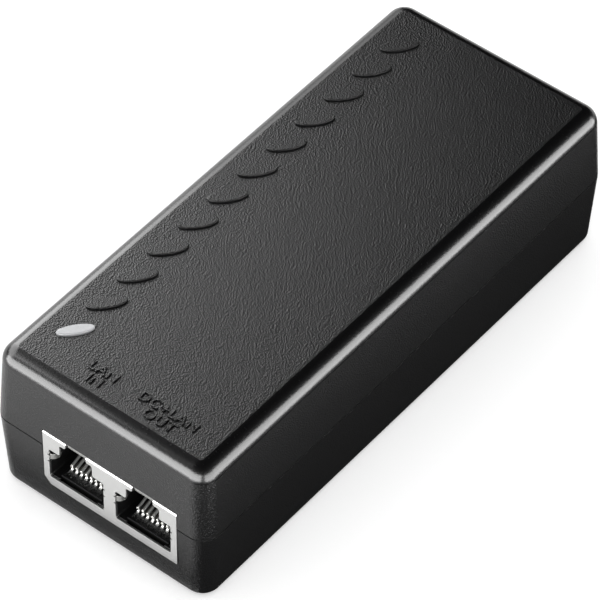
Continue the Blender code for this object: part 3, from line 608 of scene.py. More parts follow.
# Moulded epoxy of chips and packages: matt black with a fine blasted grain
EPOXY = SparkErodedFinish("moulded_epoxy", "black_epoxy", "#1a1a1c", "#101011", 0.56, grain=0.16,
                          relief=0.012, cloud=5.0)
# Shrunk PVC sleeve of the electrolytic capacitors: dark blue and glossy, with slow ripples
SLEEVE = Finish("shrunk_sleeve", "capacitor_sleeve", "#141c3c", "#0b1026", 0.24, grain=1.6,
                relief=0.02, cloud=8.0)
# Extruded aluminium plate: draw lines along the length
DRAWN_ALUMINIUM = Finish("drawn_aluminium", "aluminium", "#c9cbce", "#a9acb0", 0.36, wander=0.09,
                         metallic=1.0, grain=0.2, relief=0.004, stretch=(0.1, 1.0, 1.0))
# Polyester tape over the transformer's winding: yellow laps with a satin shine
TAPE = WoundFinish("winding_tape_laps", "winding_tape", "#d9a914", "#c08f0a", 0.30, relief=0.05,
                   pitch=2.6, direction="Y")
# Dipped epoxy on the safety capacitor: glossy blue
DIPPED_BLUE = Finish("dipped_blue_epoxy", "disc_capacitor", "#1a56a8", "#12407f", 0.28, grain=1.0,
                     relief=0.02, cloud=3.0)


def dress(obj: Piece, *finishes: Finish) -> None:
    """Give an object its materials, in the order of their slots."""
    obj.data.materials.clear()
    for finish in finishes:
        obj.data.materials.append(finish.make())


def release(obj: Piece, finish: Finish, body: str = "root",
            stands_for: Sequence[str] = (), smooth: float = 32.0, extra: Sequence[Finish] = (),
            rule: Callable[[bpy.types.MeshPolygon], int] | None = None) -> Piece:
    """Shade, dress and hand over a finished piece.

    Args:
        obj: The piece, in place.
        finish: Its main finish.
        body: The body that it rides on.
        stands_for: CAD nodes that it stands for.
        smooth: Angle under which faces shade into each other, in degrees.
        extra: Further finishes, for the material indices from 1.
        rule: Gives the material index of a face.

    Returns:
        The piece.
    """
    hold(obj)
    bpy.ops.object.shade_smooth_by_angle(angle=math.radians(smooth))
    dress(obj, finish, *extra)
    if rule:
        for polygon in obj.data.polygons:
            polygon.material_index = rule(polygon)
    shape_with(obj, "WEIGHTED_NORMAL", keep_sharp=True, weight=80)
    settle()
    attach(obj, body)
    if stands_for:
        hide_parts(*stands_for)
    LOG.info("%s: %d faces on %s", obj.name, len(obj.data.polygons), body)
    return obj


# ---------------------------------------------------------------- case

@dataclass
class CaseShells:
    """The two drafted half shells, widest at the seam between them."""

    length: float = 107.0
    width: float = 44.8
    height: float = 30.4
    seam: float = 14.9
    seam_gap: float = 0.3
    seam_edge: float = 0.05
    wall: float = 2.0
    upper_draft: float = 2.8
    lower_draft: float = 2.6
    corner: float = 3.3
    top_radius: float = 2.9
    base_radius: float = 1.1
    round_steps: int = 14
    tongue_inset: float = 1.15
    tongue_rise: float = 1.2
    rebate_inset: float = 0.85
    rebate_rise: float = 1.5
    boss_x: float = 17.3
    boss_ys: tuple[float, float] = (-31.5, 46.6)
    lower_boss_radius: float = 3.2
    upper_boss_radius: float = 2.5
    boss_joint: float = 6.5
    bore_radius: float = 1.45
    counterbore_radius: float = 2.4
    counterbore_depth: float = 2.8
    pilot_top: float = 22.0
    window_fit: float = 0.15
    pad_x: float = -14.05
    lens_y: float = -41.8
    pad_pitch: float = 7.65
    pad_count: int = 11
    pad_semi: tuple[float, float] = (3.45, 1.27)
    pad_turn: float = 51.5
    pad_rise: float = 0.4
    pad_rim: float = 0.12
    face_overlap: float = 0.8
    lens_hole: tuple[float, float] = (3.37, 1.22)
    inner_round: float = 0.9
    boss_overlap: float = 0.3
    boss_root: float = 0.6
    face_slack: float = 0.02
    skin_slack: float = 0.06
    level_cosine: float = 0.999
    upright_cosine: float = 0.997

    @property
    def ceiling(self) -> float:
        """Height of the top shell's inner face."""
        return self.height - self.wall

    def half_size(self, height: float) -> tuple[float, float]:
        """Half width and half length of the outside at a height.

        Args:
            height: Height above the base.

        Returns:
            Half width and half length.
        """
        draft = self.upper_draft if height > self.seam else self.lower_draft
        taper = abs(height - self.seam) * math.tan(math.radians(draft))
        return self.width / 2 - taper, self.length / 2 - taper

    def drafted(self, name: str, inset: float, near: float, far: float, corner: float,
                edge: float = 0.0, near_edge: float = 0.0) -> Piece:
        """Make a block that follows the draft, with round corners.

        Args:
            name: The object's name.
            inset: How far it lies inside the case's outside.
            near: Height of its face nearer the seam.
            far: Height of its other face.
            corner: Radius of its upright corners.
            edge: Radius round its far face.
            near_edge: Radius round its near face.

        Returns:
            The block.
        """
        near_x, near_y = (half - inset for half in self.half_size(near))
        far_x, far_y = (half - inset for half in self.half_size(far))
        low, high = min(near, far), max(near, far)
        shape = block(name, (-near_x, -near_y, low), (near_x, near_y, high))
        pick(shape, Pick.FACE, lambda face: all(close_to(v.co.z, far) for v in face.verts))
        widen((far_x / near_x, far_y / near_y, 1.0), (0, 0, far))
        ease(shape, edges(Z), corner, self.round_steps)
        if edge:
            ease(shape, edges(z=far), edge, self.round_steps)
        if near_edge:
            ease(shape, edges(z=near), near_edge)
        return shape

    def boss_rods(self, name: str, radius: float, low: float, high: float) -> Piece:
        """Make one rod at each screw place, from a low to a high end, as one object."""
        return gather(name, [rod(f"{name}_{side}_{y}", (side * self.boss_x, y), radius, low, high)
                             for y in self.boss_ys for side in (-1, 1)])

    def window(self, node: str, near: float, far: float) -> Piece:
        """Make the cutter of a window, a little wider than the CAD piece in it.

        Args:
            node: The CAD piece.
            near: Y where the cutter starts.
            far: Y where it ends.

        Returns:
            The cutter.
        """
        low, high = cad_box(node)
        fit = self.window_fit
        return block(f"{node}_window", (low.x - fit, near, low.z - fit), (high.x + fit, far, high.z + fit))

    def windows(self) -> tuple[Piece, Piece]:
        """Make the cutters of both windows; the jack's leaves its plate's cropped corner filled.

        Returns:
            The jack's cutter and the mains inlet's.
        """
        jack = self.window("jack_shield", -60, -50)
        corner = cad_box("jack_shield")[0]
        ease(jack, edges(Y, x=corner.x - self.window_fit, z=corner.z - self.window_fit),
             ModularJack.cropped_corner, 1)
        return jack, self.window("inlet_body", 50, 60)

    def finish_index(self, polygon: bpy.types.MeshPolygon) -> int:
        """Sort a face of a shell: textured outside, polished outer radius or blasted inside.

        Args:
            polygon: The face.

        Returns:
            Material index 0, 1 or 2.
        """
        centre, normal = polygon.center / MM, polygon.normal
        half_width, half_length = self.half_size(centre.z)
        top = centre.z > self.height - self.face_slack
        skin = min(half_width - abs(centre.x), half_length - abs(centre.y))
        level = abs(normal.z) > self.level_cosine
        upright = max(abs(normal.x), abs(normal.y)) > self.upright_cosine
        if top or (centre.z < self.face_slack and level) or (upright and skin < self.skin_slack):
            return 0
        outward = normal.x * centre.x >= -1e-3 and normal.y * centre.y >= -1e-3
        near_corner = skin < self.corner and (centre.z > self.ceiling + 0.4
                                                    or skin < self.base_radius)
        if not outward or level or upright or not near_corner:
            return 2
        return 1 if centre.z > self.height - self.top_radius else 0

    def pads(self) -> Piece:
        """Make the row of slanted oval pads as one object, all copies of the first."""
        top = self.height + self.pad_rise
        first = oval("pad_1", (self.pad_x, self.lens_y + self.pad_pitch), self.pad_semi, self.pad_turn,
                     self.height - self.face_overlap, top)
        ease(first, edges(z=top), self.pad_rim, 3)
        return gather("pads", in_row(first, self.pad_count, (0, self.pad_pitch, 0)))

    def build_top(self) -> None:
        """Build and dress the upper shell."""
        shell = self.drafted("case_top", 0.0, self.seam + self.seam_gap / 2, self.height, self.corner,
                             self.top_radius, self.seam_edge)
        work(shell, Action.JOIN, self.pads())
        hollow = self.drafted("top_hollow", self.wall, self.seam - PAST, self.ceiling,
                              self.corner - self.wall, self.inner_round)
        rebate = self.drafted("rebate", self.rebate_inset, self.seam - PAST,
                              self.seam + self.rebate_rise, self.corner - self.rebate_inset)
        work(shell, Action.CUT, hollow, rebate)
        work(shell, Action.JOIN, self.boss_rods("upper_bosses", self.upper_boss_radius,
                                                self.boss_joint + self.boss_overlap,
                                                self.ceiling + self.boss_root))
        lens_hole = oval("lens_hole", (self.pad_x, self.lens_y), self.lens_hole, self.pad_turn,
                         self.ceiling - PAST, self.height + PAST)
        pilots = self.boss_rods("pilots", self.bore_radius, self.boss_joint - PAST, self.pilot_top)
        work(shell, Action.CUT, pilots, lens_hole, *self.windows())
        release(shell, CASE_GRAIN, stands_for=["top_shell"], extra=(CASE_RADIUS, CASE_INSIDE),
                rule=self.finish_index)

    def build_bottom(self) -> None:
        """Build and dress the lower shell."""
        shell = self.drafted("case_bottom", 0.0, self.seam - self.seam_gap / 2, 0.0, self.corner,
                             self.base_radius, self.seam_edge)
        tongue = self.drafted("tongue", self.tongue_inset, self.seam - 2, self.seam + self.tongue_rise,
                              self.corner - self.tongue_inset)
        work(shell, Action.JOIN, tongue)
        work(shell, Action.CUT, self.drafted("bottom_hollow", self.wall, self.seam + 3, self.wall,
                                             self.corner - self.wall, self.inner_round))
        work(shell, Action.JOIN, self.boss_rods("lower_bosses", self.lower_boss_radius,
                                                self.wall - self.face_overlap, self.boss_joint))
        counterbores = self.boss_rods("counterbores", self.counterbore_radius, -PAST,
                                      self.counterbore_depth)
        bores = self.boss_rods("bores", self.bore_radius, self.counterbore_depth - PAST,
                               self.boss_joint + PAST)
        work(shell, Action.CUT, counterbores, bores, *self.windows())
        release(shell, CASE_GRAIN, stands_for=["bottom_shell"], extra=(CASE_RADIUS, CASE_INSIDE),
                rule=self.finish_index)

    def build(self) -> None:
        """Build both shells."""
        self.build_top()
        self.build_bottom()


@dataclass
class PortLabels:
    """Raised port names on the top face, one centred block of two lines over each port."""

    blocks: tuple[tuple[tuple[str, str], float], ...] = ((("LAN", "IN"), -4.7),
                                                         (("DC+LAN", "OUT"), 8.6))
    line_feet: tuple[float, float] = (-46.5, -48.85)
    letter_height: float = 2.0
    spacing: float = 1.12
    rise: float = 0.24
    sunk: float = 0.1
    font_share: float = 0.729
    boldness: float = 0.02

    def line(self, text: str, x: float, y: float, top: float) -> Piece:
        """Make one line of raised letters.

        Args:
            text: The letters.
            x: The line's middle.
            y: The line's foot.
            top: Height of the face that it stands on.

        Returns:
            The letters as one mesh.
        """
        settle()
        middle = top + (self.rise - self.sunk) / 2
        bpy.ops.object.text_add(location=(0, 0, 0))
        letters = bpy.context.view_layer.objects.active
        letters.data.body = text
        letters.data.align_x = "CENTER"
        letters.data.size = self.letter_height / self.font_share * MM
        letters.data.space_character = self.spacing
        letters.data.extrude = (self.rise + self.sunk) / 2 * MM
        letters.data.resolution_u = 6
        letters.data.offset = self.boldness * MM
        bpy.ops.object.convert(target="MESH")
        letters = bpy.context.view_layer.objects.active
        letters.data.transform(Matrix.Translation(Vector((x, y, middle)) * MM))
        tidy_mesh(letters)
        return letters

    def build(self, case: CaseShells) -> None:
        """Build all the lines as one piece on the case's top face."""
        lines = [self.line(text, x, foot, case.height)
                 for words, x in self.blocks for text, foot in zip(words, self.line_feet)]
        release(gather("port_lettering", lines), CASE_GRAIN)


# ---------------------------------------------------------------- two-port jack

@dataclass
class ModularJack:
    """The two-port jack: folded shield, moulded body, contact bars and sprung contacts."""

    cropped_corner: float = 1.3
    sheet: float = 0.3
    fold: float = 0.45
    fit: float = 0.15
    pitch: float = 13.97
    depth: float = 12.0
    steps: tuple[tuple[float, float, float], ...] = ((5.75, 8.05, 14.65), (3.45, 14.0, 17.1),
                                                     (2.15, 16.5, 17.85))
    opening_corner: float = 0.4
    notch_half_width: float = 2.15
    finger_low: float = 11.95
    finger_high: float = 13.15
    finger_radius: float = 1.3
    finger_bulge: float = 0.9
    finger_sheet: float = 0.15
    slit_width: float = 0.28
    slit_reach: tuple[float, float] = (0.2, 0.32)
    hem_front: float = 0.6
    hem_depth: float = 1.45
    hem_drop: float = 0.8
    hem_bend: float = 0.2
    contact_count: int = 8
    contact_pitch: float = 1.02
    wire: float = 0.25
    hairpin_radius: float = 0.5
    arm_angle: float = 20.0
    arm_length: float = 7.6
    arm_shares: tuple[float, float, float] = (0.5, 0.38, 0.12)
    tip_curl: float = 8.0
    leg_start: float = 0.3
    leg_bend: float = 0.45
    tail_inset: float = 0.6
    tail_step: float = 1.3
    bar_half_width: float = 4.3
    bar_low: float = 7.2
    bar_high: float = 8.3
    fin_half: float = 0.14
    fin_reach: float = 3.4
    fin_heights: tuple[float, float] = (10.2, 13.9)
    fin_round: float = 0.6
    low: Vector = field(init=False)
    high: Vector = field(init=False)
    hairpins: dict[str, Vector] = field(init=False)

    def __post_init__(self) -> None:
        """Read the jack's box and the hairpins' axes from the frame."""
        self.low, self.high = cad_box("jack_shield")
        self.hairpins = {joint["child"].split("_")[0]: Vector(joint["pos_m"]) / MM
                         for joint in frame["joints"]}

    @property
    def centre(self) -> float:
        """X of the middle between the two ports."""
        return (self.low.x + self.high.x) / 2

    def ports(self) -> dict[str, float]:
        """X of the middle of each port."""
        return {"left": self.centre - self.pitch / 2, "right": self.centre + self.pitch / 2}

    def opening(self, name: str, x: float, near: float, far: float, play: float,
                notch: bool = False) -> Piece:
        """Make the cutter of a port's stepped opening, its corners rounded.

        Args:
            name: The object's name.
            x: Middle of the port.
            near: Y where it starts.
            far: Y where it ends.
            play: How much wider it is than the bare opening, on each side.
            notch: Whether the latch slot runs out through the top.

        Returns:
            The cutter.
        """
        first, *others = [
            block(f"{name}_{index}", (x - half - play, near, bottom - play),
                  (x + half + play, far, (top + 3 if notch and index == 2 else top) + play))
            for index, (half, bottom, top) in enumerate(self.steps)]
        work(first, Action.JOIN, *others)
        ease(first, edges(Y), self.opening_corner, 3)
        first.name = name
        return first

    def build_shield(self) -> None:
        """Build the folded sheet: face plate with two openings, top, sides and back, open below."""
        low, high, sheet = self.low, self.high, self.sheet
        shield = block("shield_cover", low, high)
        ease(shield, edges(Y, x=low.x, z=low.z), self.cropped_corner, 1)
        ease(shield, edges(X, y=low.y, z=high.z), self.fold, 5)
        ease(shield, lambda e: edge_lies(e, Y, low.y) and not edge_lies(e, Z, low.z), 0.1)
        hollow = block("shield_hollow", (low.x + sheet, low.y + sheet, low.z - PAST),
                       (high.x - sheet, high.y - sheet, high.z - sheet))
        ease(hollow, edges(X, y=low.y + sheet, z=high.z - sheet), self.fold - sheet, 3)
        work(shield, Action.CUT, hollow)
        plate_rear = low.y + sheet + 0.05
        for side, x in self.ports().items():
            work(shield, Action.CUT, self.opening(f"{side}_plate", x, low.y - 2, plate_rear, 0.0, True))
            for wall in (-1, 1):
                edge = x + wall * self.steps[0][0]
                inward, outward = self.slit_reach
                near, far = sorted((edge - wall * inward, edge + wall * outward))
                for height in (self.finger_low - 0.45, self.finger_high - 0.05):
                    work(shield, Action.CUT, block("finger_slit", (near, low.y - PAST, height),
                                                   (far, plate_rear, height + self.slit_width)))
        release(shield, TIN_PLATE, stands_for=["jack_shield"])

    def build_lips(self) -> None:
        """Build the folded hem of the top sheet behind each latch slot."""
        for side, x in self.ports().items():
            half = self.notch_half_width - 0.12
            top, bend = self.high.z - self.sheet, self.low.y + self.hem_depth
            foot, back = top - self.hem_drop, bend + self.hem_bend
            lip = block(f"{side}_latch_lip", (x - half, self.low.y + self.hem_front, foot),
                        (x + half, bend, foot + self.sheet))
            pick(lip, Pick.FACE, lambda face: face.normal.y > 0.9)
            push((0, self.hem_bend, 0))
            settle()
            work(lip, Action.JOIN, block("riser", (x - half, bend, foot + 0.1), (x + half, back, top)))
            ease_all(lip, 0.06)
            # Painted shade: the hem takes the darker copy of the tin
            release(lip, SHADED_TIN)

    def build_fingers(self) -> None:
        """Build the bowed earthing fingers, one on each wall of each port."""
        for side, x in self.ports().items():
            for label, wall in (("outer", -1), ("inner", 1)):
                edge = x + wall * self.steps[0][0]
                axis_x = edge + wall * (self.finger_radius - self.finger_bulge)
                axis_y = self.low.y + self.sheet + math.sqrt(
                    self.finger_radius ** 2 - (self.finger_radius - self.finger_bulge) ** 2)
                finger = rod(f"{side}_earth_finger_{label}", (axis_x, axis_y), self.finger_radius,
                             self.finger_low, self.finger_high, sides=64)
                pick(finger, Pick.FACE, lambda face: abs(face.normal.z) > 0.5
                     or (face.calc_center_median().x / MM - edge) * wall > 0.0)
                bpy.ops.mesh.delete(type="FACE")
                settle()
                shape_with(finger, "SOLIDIFY", thickness=self.finger_sheet * MM, offset=-1.0)
                ease_all(finger, 0.03, 1, 60.0)
                # Painted shade: the finger takes the darker copy of the tin
                release(finger, SHADED_TIN)

    def inside_front(self, edge: Any) -> bool:
        """Say whether an edge lies well inside the body's outline, as seen from the front."""
        middle = (edge.verts[0].co + edge.verts[1].co) / 2 / MM
        return (self.low.x + 1.0 < middle.x < self.high.x - 1.0
                and self.low.z + 0.6 < middle.z < self.high.z - 0.8)

    def build_housing(self) -> None:
        """Build the moulded body: two stepped cavities, bar channels and the comb behind each port."""
        low, high, play = self.low, self.high, self.sheet + self.fit
        front, rear = low.y + play, high.y - play
        housing = block("jack_body", (low.x + play, front, low.z + 0.1),
                        (high.x - play, rear, high.z - play))
        ease(housing, edges(Y, x=low.x + play, z=low.z + 0.1), self.cropped_corner, 1)
        channel = self.bar_half_width + self.fit
        for side, x in self.ports().items():
            cavity = self.opening(f"{side}_cavity", x, front - PAST, low.y + self.depth, 0.02)
            work(housing, Action.CUT, cavity)
        ease(housing, lambda e: edge_lies(e, Y, front) and self.inside_front(e), 0.16, 3)
        for side, x in self.ports().items():
            trough = block(f"{side}_trough", (x - channel + 0.5, front - PAST, self.bar_low - self.fit),
                           (x + channel - 0.5, low.y + 2.2, self.bar_high + 0.4))
            bed = block(f"{side}_bed", (x - channel, low.y + 0.9, self.bar_low - self.fit),
                        (x + channel, rear - 0.5, self.bar_high + 0.5))
            tails = block(f"{side}_tails", (x - channel, rear - 3.0, low.z - PAST),
                          (x + channel, rear - 0.5, self.bar_low + 0.5))
            work(housing, Action.CUT, trough, bed, tails)
            work(housing, Action.JOIN, self.comb(side, x))
        release(housing, JACK_NYLON, stands_for=["jack_housing"])

    def comb(self, side: str, x: float) -> Piece:
        """Make the fins between a port's contacts.

        Args:
            side: Name of the port.
            x: Middle of the port.

        Returns:
            The fins as one object.
        """
        far = self.low.y + self.depth
        left = x - self.contact_pitch * self.contact_count / 2
        foot, top = self.fin_heights
        fin = block(f"{side}_comb", (left - self.fin_half, far - self.fin_reach, foot),
                    (left + self.fin_half, far + 0.3, top))
        ease(fin, edges(X, y=far - self.fin_reach), self.fin_round, 3)
        return gather(f"{side}_comb", in_row(fin, self.contact_count + 1, (self.contact_pitch, 0, 0)))

    def contact_xs(self, x: float) -> list[float]:
        """X of each contact of a port, from the left."""
        first = x - self.contact_pitch * (self.contact_count - 1) / 2
        return [first + self.contact_pitch * index for index in range(self.contact_count)]

    def build_bar(self, side: str, x: float) -> None:
        """Build a port's moulded contact bar, grooved for its legs, about the port's middle."""
        node = f"{side}_contact_insert"
        pivot = self.hairpins[side]
        near, rear = pivot.y - 1.6, cad_box(node)[1].y
        bar = block(f"{side}_contact_bar", (x - self.bar_half_width, near, self.bar_low),
                    (x + self.bar_half_width, rear, self.bar_high))
        ease(bar, lambda e: edge_lies(e, Y, near) or edge_lies(e, Z, self.bar_high), 0.12)
        leg_z = pivot.z - self.hairpin_radius
        grooves = [rod("groove", (place, leg_z), self.wire + 0.04, near + 0.5, rear + PAST, Axis.Y, 16)
                   for place in self.contact_xs(x)]
        work(bar, Action.CUT, gather("grooves", grooves))
        release(bar, JACK_NYLON, stands_for=[node])

    def wire_start(self, name: str, place: Point) -> Piece:
        """Start a wire as a filled circle that faces -Y.

        Args:
            name: The object's name.
            place: The circle's middle, in millimetres.

        Returns:
            The circle, with its face selected in edit mode.
        """
        settle()
        bpy.ops.mesh.primitive_circle_add(vertices=14, radius=self.wire * MM, fill_type="NGON",
                                          location=Vector(place) * MM, rotation=Axis.Y.value)
        circle = placed(name)
        pick(circle, Pick.FACE, lambda face: True)
        return circle

    def build_legs(self, side: str, x: float) -> None:
        """Build a port's eight fixed legs, each bent down to its solder tail.

        Args:
            side: Name of the port.
            x: Middle of the port.
        """
        pivot = self.hairpins[side]
        rear = cad_box(f"{side}_contact_insert")[1].y
        leg_z, bend, start = pivot.z - self.hairpin_radius, self.leg_bend, pivot.y + self.leg_start
        legs = []
        for row in range(2):
            tail_y = rear - self.tail_inset - self.tail_step * row
            place = self.contact_xs(x)[row]
            leg = self.wire_start(f"{side}_leg_{row}", (place, start, leg_z))
            push((0, tail_y - bend - start, 0))
            bpy.ops.mesh.spin(steps=6, angle=math.radians(90), axis=(1, 0, 0),
                              center=Vector((place, tail_y - bend, leg_z - bend)) * MM)
            push((0, 0, self.low.z + 0.1 - (leg_z - bend)))
            settle()
            tidy_mesh(leg)
            legs += in_row(leg, self.contact_count // 2, (2 * self.contact_pitch, 0, 0))
        # Painted shade: the legs take the darker copy of the spring plating
        release(gather(f"{side}_contact_legs", legs), SHADED_LEG_PLATE, smooth=50.0)

    def build_arms(self, side: str, x: float) -> None:
        """Build a port's eight sprung arms: a hairpin, a straight rise and a curled tip.

        Args:
            side: Name of the port.
            x: Middle of the port.
        """
        pivot = self.hairpins[side]
        first_x, *others = self.contact_xs(x)
        arm = self.wire_start(f"{side}_spring_1", (first_x, pivot.y, pivot.z - self.hairpin_radius))
        bpy.ops.mesh.spin(steps=18, angle=-math.radians(180 - self.arm_angle), axis=(1, 0, 0),
                          center=Vector((first_x, pivot.y, pivot.z)) * MM)
        rise = math.radians(self.arm_angle)
        run = Vector((0, math.cos(rise), math.sin(rise)))
        *straights, tip = self.arm_shares
        for share in straights:
            push(run * self.arm_length * share)
        push(Matrix.Rotation(math.radians(-self.tip_curl), 3, "X") @ run * self.arm_length * tip)
        settle()
        tidy_mesh(arm)
        arms = [arm] + [twin(arm, f"{side}_spring_{index}", (place - first_x, 0, 0))
                        for index, place in enumerate(others, start=2)]
        for index, spring in enumerate(arms, start=1):
            release(spring, SPRING_PLATE, f"{side}_contacts", [f"{side}_contact_{index}"], smooth=50.0)

    def build(self) -> None:
        """Build the whole jack."""
        self.build_shield()
        self.build_lips()
        self.build_fingers()
        self.build_housing()
        for side, x in self.ports().items():
            self.build_bar(side, x)
            self.build_legs(side, x)
            self.build_arms(side, x)


# ---------------------------------------------------------------- light pipe, inlet and screws

@dataclass
class LightPipe:
    """Moulded light pipe whose head is the oval lens at the front of the row of pads."""

    semi: tuple[float, float] = (3.19, 1.04)
    flange: tuple[float, float] = (4.3, 2.1)
    stem_radius: float = 1.4
    rim: float = 0.24

    def build(self, case: CaseShells) -> None:
        """Build the pipe from the diode up to the lens.

        Args:
            case: The shells that it sits in.
        """
        low, high = cad_box("light_pipe")
        place = (case.pad_x, case.lens_y)
        top = high.z
        head = oval("indicator_lens", place, self.semi, case.pad_turn, case.ceiling - 0.8, top)
        ease(head, edges(z=top), self.rim, 6)
        flange = oval("flange", place, self.flange, case.pad_turn, case.ceiling - 1.5,
                      case.ceiling - 0.3)
        ease_all(flange, 0.15)
        stem = rod("stem", place, self.stem_radius - 0.1, low.z, case.ceiling - 1.0,
                   top_radius=self.stem_radius)
        work(head, Action.JOIN, flange, stem)
        release(head, LENS_MILK, stands_for=["light_pipe"])


@dataclass
class MainsInlet:
    """Keyed three-pole mains inlet in the rear face."""

    rim: float = 0.45
    well_half: tuple[float, float] = (12.1, 8.3)
    well_depth: float = 16.0
    key_chamfer: float = 3.4
    mouth: float = 0.5
    slot_fit: float = 0.15
    blade_height: float = 4.0
    blade_tip: float = 0.75
    poles: tuple[str, ...] = ("line", "neutral", "earth")

    def build_body(self) -> None:
        """Build the moulded body with its keyed well and a slot for each blade."""
        low, high = cad_box("inlet_body")
        middle = (low.z + high.z) / 2
        body = block("inlet_shell", low, high)
        ease(body, edges(y=high.y), self.rim, 4)
        width, height = self.well_half
        floor = high.y - self.well_depth
        well = block("well", (-width, floor, middle - height), (width, high.y + PAST, middle + height))
        ease(well, edges(Y, z=middle + height), self.key_chamfer, 1)
        ease(well, edges(Y), 0.5, 3)
        work(body, Action.CUT, well)
        wide, tall = width + self.mouth, height + self.mouth
        mouth = block("mouth", (-wide, high.y - self.mouth, middle - tall),
                      (wide, high.y + PAST, middle + tall))
        ease(mouth, edges(Y, z=middle + tall), self.key_chamfer, 1)
        pick(mouth, Pick.FACE, lambda face: face.normal.y < -0.9)
        widen((width / wide, 1.0, height / tall), (0, high.y - self.mouth, middle))
        settle()
        work(body, Action.CUT, mouth)
        for pole in self.poles:
            near, far = cad_box(f"inlet_blade_{pole}")
            fit, slot_low = self.slot_fit, max(near.z, far.z - self.blade_height)
            work(body, Action.CUT, block(f"{pole}_slot", (near.x - fit, low.y - PAST, slot_low - fit),
                                         (far.x + fit, floor + PAST, far.z + fit)))
        release(body, INLET_NYLON, stands_for=["inlet_body"])

    def build_blades(self) -> None:
        """Build the three blades with eased, pointed tips and bent tails."""
        for pole in self.poles:
            low, high = cad_box(f"inlet_blade_{pole}")
            blade = block(f"mains_blade_{pole}", (low.x, low.y, high.z - self.blade_height), high)
            ease(blade, edges(y=high.y), self.blade_tip, 4)
            work(blade, Action.JOIN, block("tail", low, (high.x, low.y + 1.5, high.z - 1.0)))
            ease_all(blade, 0.1)
            release(blade, BLADE_NICKEL, stands_for=[f"inlet_blade_{pole}"])

    def build(self) -> None:
        """Build the body and the blades."""
        self.build_body()
        self.build_blades()


@dataclass
class CaseScrews:
    """Self-tapping screws driven from below, with domed cross-recess heads."""

    head_radius: float = 2.2
    head_height: float = 1.85
    shank_radius: float = 1.25
    core_radius: float = 0.95
    thread_pitch: float = 1.0
    thread_shares: tuple[float, ...] = (0.45, 0.25, 0.1, 0.2)
    tip: float = 1.6
    dome: float = 0.7
    recess: tuple[tuple[float, float], ...] = ((1.3, 0.26), (0.26, 1.35))
    recess_depth: float = 1.0

    def build(self) -> None:
        """Model one screw and copy it to the four places."""
        boxes = [cad_box(f"case_screw_{number}") for number in range(1, 5)]
        low, high = boxes[0]
        x, y = (low.x + high.x) / 2, (low.y + high.y) / 2
        screw = rod("screw_1", (x, y), self.head_radius, low.z, low.z + self.head_height, sides=48)
        ease(screw, edges(z=low.z), self.dome, 6)
        pick(screw, Pick.FACE, lambda face: face.normal.z > 0.9)
        seat = low.z + self.head_height
        bpy.ops.mesh.inset(thickness=(self.head_radius - self.core_radius) * MM)
        threads = int((high.z - self.tip - seat) / self.thread_pitch)
        grow = self.shank_radius / self.core_radius
        height = seat
        for _ in range(threads):
            for step, factor in zip(self.thread_shares, (1.0, grow, 1.0, 1.0 / grow)):
                height += step * self.thread_pitch
                push((0, 0, step * self.thread_pitch))
                widen((factor, factor, 1.0), (x, y, height))
        push((0, 0, high.z - height))
        widen((0.3, 0.3, 1.0), (x, y, high.z))
        settle()
        floor = low.z + self.recess_depth
        for half_x, half_y in self.recess:
            bit = block("bit", (x - half_x, y - half_y, low.z - 0.5), (x + half_x, y + half_y, floor))
            pick(bit, Pick.FACE, lambda face: face.normal.z > 0.9)
            widen((0.7, 0.7, 1.0), (x, y, floor))
            settle()
            work(screw, Action.CUT, bit)
        copies = [screw]
        for number, (near, far) in enumerate(boxes[1:], start=2):
            step = ((near.x + far.x) / 2 - x, (near.y + far.y) / 2 - y, 0)
            copies.append(twin(screw, f"screw_{number}", step))
        for number, piece in enumerate(copies, start=1):
            release(piece, SCREW_ZINC, stands_for=[f"case_screw_{number}"])


# ---------------------------------------------------------------- electronics

@dataclass
class Electronics:
    """The board and what stands on it: the CAD pieces, each with its own finish."""

    finishes: dict[str, Finish] = field(default_factory=lambda: {
        "main_board": BOARD_MASK, "insulation_sheet": FILM, "led": LED_EPOXY, "fuse": PHENOLIC,
        "thermistor": DIPPED_LACQUER, "x_capacitor": POTTED_BOX, "bridge_rectifier": EPOXY,
        "choke_core": SINTERED, "choke_winding_line": RING_COPPER, "choke_winding_neutral": RING_COPPER,
        "transformer_core": SINTERED, "transformer_bobbin": EPOXY, "transformer_winding": TAPE,
        "bulk_capacitor": SLEEVE, "switching_transistor": EPOXY, "primary_heatsink": DRAWN_ALUMINIUM,
        "primary_heatsink_screw": SCREW_ZINC, "pwm_controller": EPOXY, "y_capacitor": DIPPED_BLUE,
        "optocoupler": EPOXY, "output_rectifier": EPOXY, "secondary_heatsink": DRAWN_ALUMINIUM,
        "secondary_heatsink_screw": SCREW_ZINC, "output_capacitor_1": SLEEVE,
        "output_capacitor_2": SLEEVE, "output_inductor": SINTERED, "lan_transformer": EPOXY,
        "poe_controller": EPOXY})

    def build(self) -> None:
        """Dress every CAD piece inside the case."""
        for name, finish in self.finishes.items():
            node = frame["nodes"][name]
            dress(node, finish)
            LOG.info("%s: dressed in %s", name, finish.title)


# ---------------------------------------------------------------- studio

def stand_off(name: str, data: bpy.types.ID, back: Vector, aim: Point, distance: float) -> Piece:
    """Stand a lamp or a camera away from a point, facing it.

    Args:
        name: The object's name.
        data: The lamp's or the camera's own settings.
        back: The way from the point towards it, of length 1.
        aim: The point, in metres.
        distance: How far off it stands, in metres.

    Returns:
        The new object.
    """
    stood = bpy.data.objects.new(name, data)
    bpy.context.scene.collection.objects.link(stood)
    stood.location = Vector(aim) + back * distance
    stood.rotation_mode = "QUATERNION"
    stood.rotation_quaternion = (-back).to_track_quat("-Z", "Y")
    return stood


def paint(obj: Piece, name: str, inputs: dict[str, Any]) -> None:
    """Give a studio object one even material.

    Args:
        obj: The object.
        name: The material's name.
        inputs: The values of its shader's inputs.
    """
    made = bpy.data.materials.new(name)
    made.use_nodes = True
    for key, value in inputs.items():
        made.node_tree.nodes["Principled BSDF"].inputs[key].default_value = value
    obj.data.materials.append(made)


